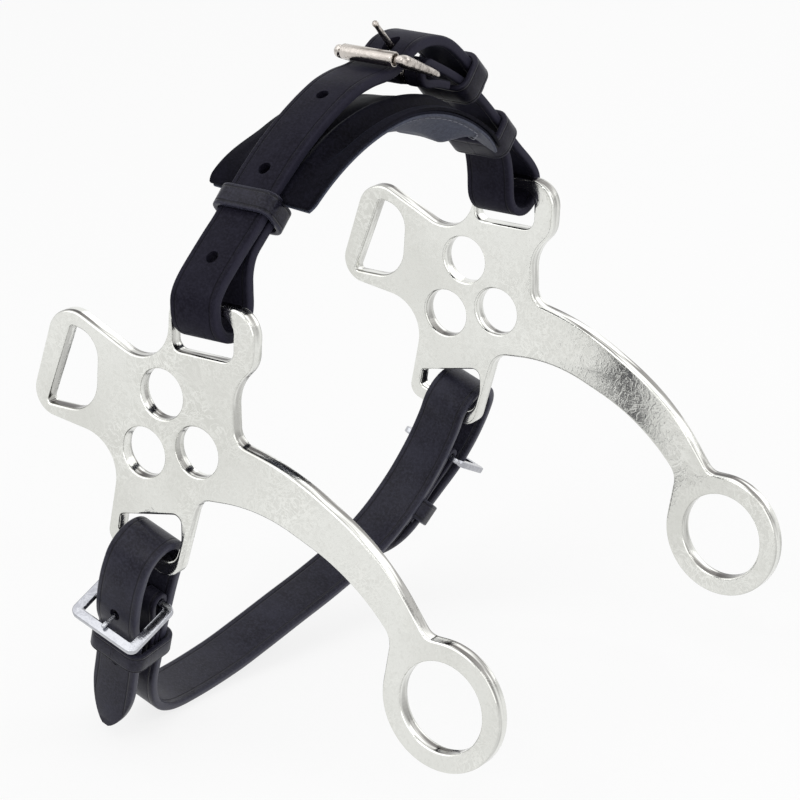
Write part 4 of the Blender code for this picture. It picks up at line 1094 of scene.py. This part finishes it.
def makeCastFrame(name, place):
    # a cast frame: its outer and inner outlines, filled between, thickened and eased
    half, deep, wire = curbBuckles["half"], curbBuckles["depth"], curbBuckles["wire"]
    outlines = []
    for grow, bar, corner in ((wire + curbBuckles["flange"], wire, curbBuckles["corner"]),
                              (-wire, -wire, curbBuckles["corner"] * 0.35)):
        outlines.append(rounded([(-half - grow, -bar, corner), (-half - grow, deep + grow, corner),
                                 (half + grow, deep + grow, corner), (half + grow, -bar, corner)], 6))
    cast = cutPlate(name, outlines, curbBuckles["thick"], curbBuckles["edge"], 2)
    setPlace(cast, place)
    smooth(cast, 35)
    return dress(cast, "chrome")


for label in ("near", "far"):
    size = curbBuckles[label]
    place = placeAt(curbBench, size["hinge"], radians(size["turn"]), "X")
    cast = makeCastFrame(label + "CurbBuckleFrame", place)
    standIn(cast, label + "_curb_buckle", label + "_curb_buckle_frame")
    makeTongue(label + "CurbBuckleTongue", place, curbBuckles["wire"], curbBuckles["tongue"],
               curbBuckles["depth"] + curbBuckles["past"], size["rise"], "chrome", label + "_curb_tongue",
               label + "_curb_buckle_tongue")
print("curb buckles made")


backdrop = {"floorColour": (0.90, 0.90, 0.90), "floorSize": 6.0, "floorDrop": 0.0006, "whiteShare": 0.80,
            "worldLight": 0.55}


def seenWhite(tree):
    # 1 where the camera, a polished surface or glass looks at it
    path = tree.nodes.new("ShaderNodeLightPath")
    return combine(tree, "MAXIMUM", path.outputs["Is Camera Ray"],
                   combine(tree, "MAXIMUM", path.outputs["Is Glossy Ray"], path.outputs["Is Transmission Ray"]))


def makeFloor():
    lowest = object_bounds()[0].z
    onlySelect(None)
    bpy.ops.mesh.primitive_plane_add(size=backdrop["floorSize"],
                                     location=(0, 0, lowest - backdrop["floorDrop"]))
    floor = bpy.context.object
    floor.name = "floor"
    made, tree, shader = newMaterial("paleFloor")
    shader.inputs["Base Color"].default_value = (*backdrop["floorColour"], 1)
    shader.inputs["Roughness"].default_value = 0.9
    shader.inputs["Specular IOR Level"].default_value = 0.0
    white = tree.nodes.new("ShaderNodeEmission")
    join = tree.nodes.new("ShaderNodeMixShader")
    tree.links.new(times(tree, seenWhite(tree), backdrop["whiteShare"]), join.inputs["Fac"])
    tree.links.new(shader.outputs["BSDF"], join.inputs[1])
    tree.links.new(white.outputs["Emission"], join.inputs[2])
    tree.links.new(join.outputs["Shader"], tree.nodes["Material Output"].inputs["Surface"])
    floor.data.materials.append(made)


def makeWorld():
    world = bpy.context.scene.world or bpy.data.worlds.new("studio")
    bpy.context.scene.world = world
    world.use_nodes = True
    tree = world.node_tree
    tree.nodes.clear()
    out = tree.nodes.new("ShaderNodeOutputWorld")
    back = tree.nodes.new("ShaderNodeBackground")
    back.inputs["Color"].default_value = (1, 1, 1, 1)
    strength = rampOf(tree, seenWhite(tree), (0.0, 1.0, backdrop["worldLight"], 1.0))
    tree.links.new(strength, back.inputs["Strength"])
    tree.links.new(back.outputs["Background"], out.inputs["Surface"])


makeFloor()
makeWorld()


# each lamp: its place and its size in metres, and its power in watts
lamps = {
    "aim": (0, 0, -0.05),
    "keyBox": ((-0.5, -1.0, 1.3), (2.4, 2.4), 14),
    "glintBox": ((0.1, -1.3, 1.1), (0.26, 0.26), 1.6),
    "backGlintBox": ((1.2, 0.5, 1.0), (0.3, 0.3), 1.6),
    "fillBox": ((1.3, -0.6, 0.6), (1.5, 1.5), 6),
    "rimBox": ((0.3, 1.3, 0.9), (1.8, 1.2), 6),
}
camera = {"lens": 162, "film": 36, "eye": (0.6174, -0.8750, 0.2863), "aim": (0.0700, -0.0777, -0.0564),
          "nearest": 0.05, "farthest": 50}


def standAt(name, data, spot, aim):
    # puts a lamp or a camera at its place, turned to what it looks at
    made = bpy.data.objects.new(name, data)
    bpy.context.collection.objects.link(made)
    made.location = spot
    made.rotation_euler = (Vector(aim) - Vector(spot)).to_track_quat("-Z", "Y").to_euler()
    return made


for name in ("keyBox", "glintBox", "backGlintBox", "fillBox", "rimBox"):
    spot, size, power = lamps[name]
    data = bpy.data.lights.new(name, "AREA")
    data.shape = "RECTANGLE"
    data.size, data.size_y = size
    data.energy = power
    standAt(name, data, spot, lamps["aim"])

data = bpy.data.cameras.new("camera")
data.lens = camera["lens"]
data.sensor_width = camera["film"]
data.clip_start = camera["nearest"]
data.clip_end = camera["farthest"]
bpy.context.scene.camera = standAt("camera", data, camera["eye"], camera["aim"])
bpy.context.scene.view_settings.view_transform = "Standard"
print("backdrop, lamps and camera made")

print("scene made")
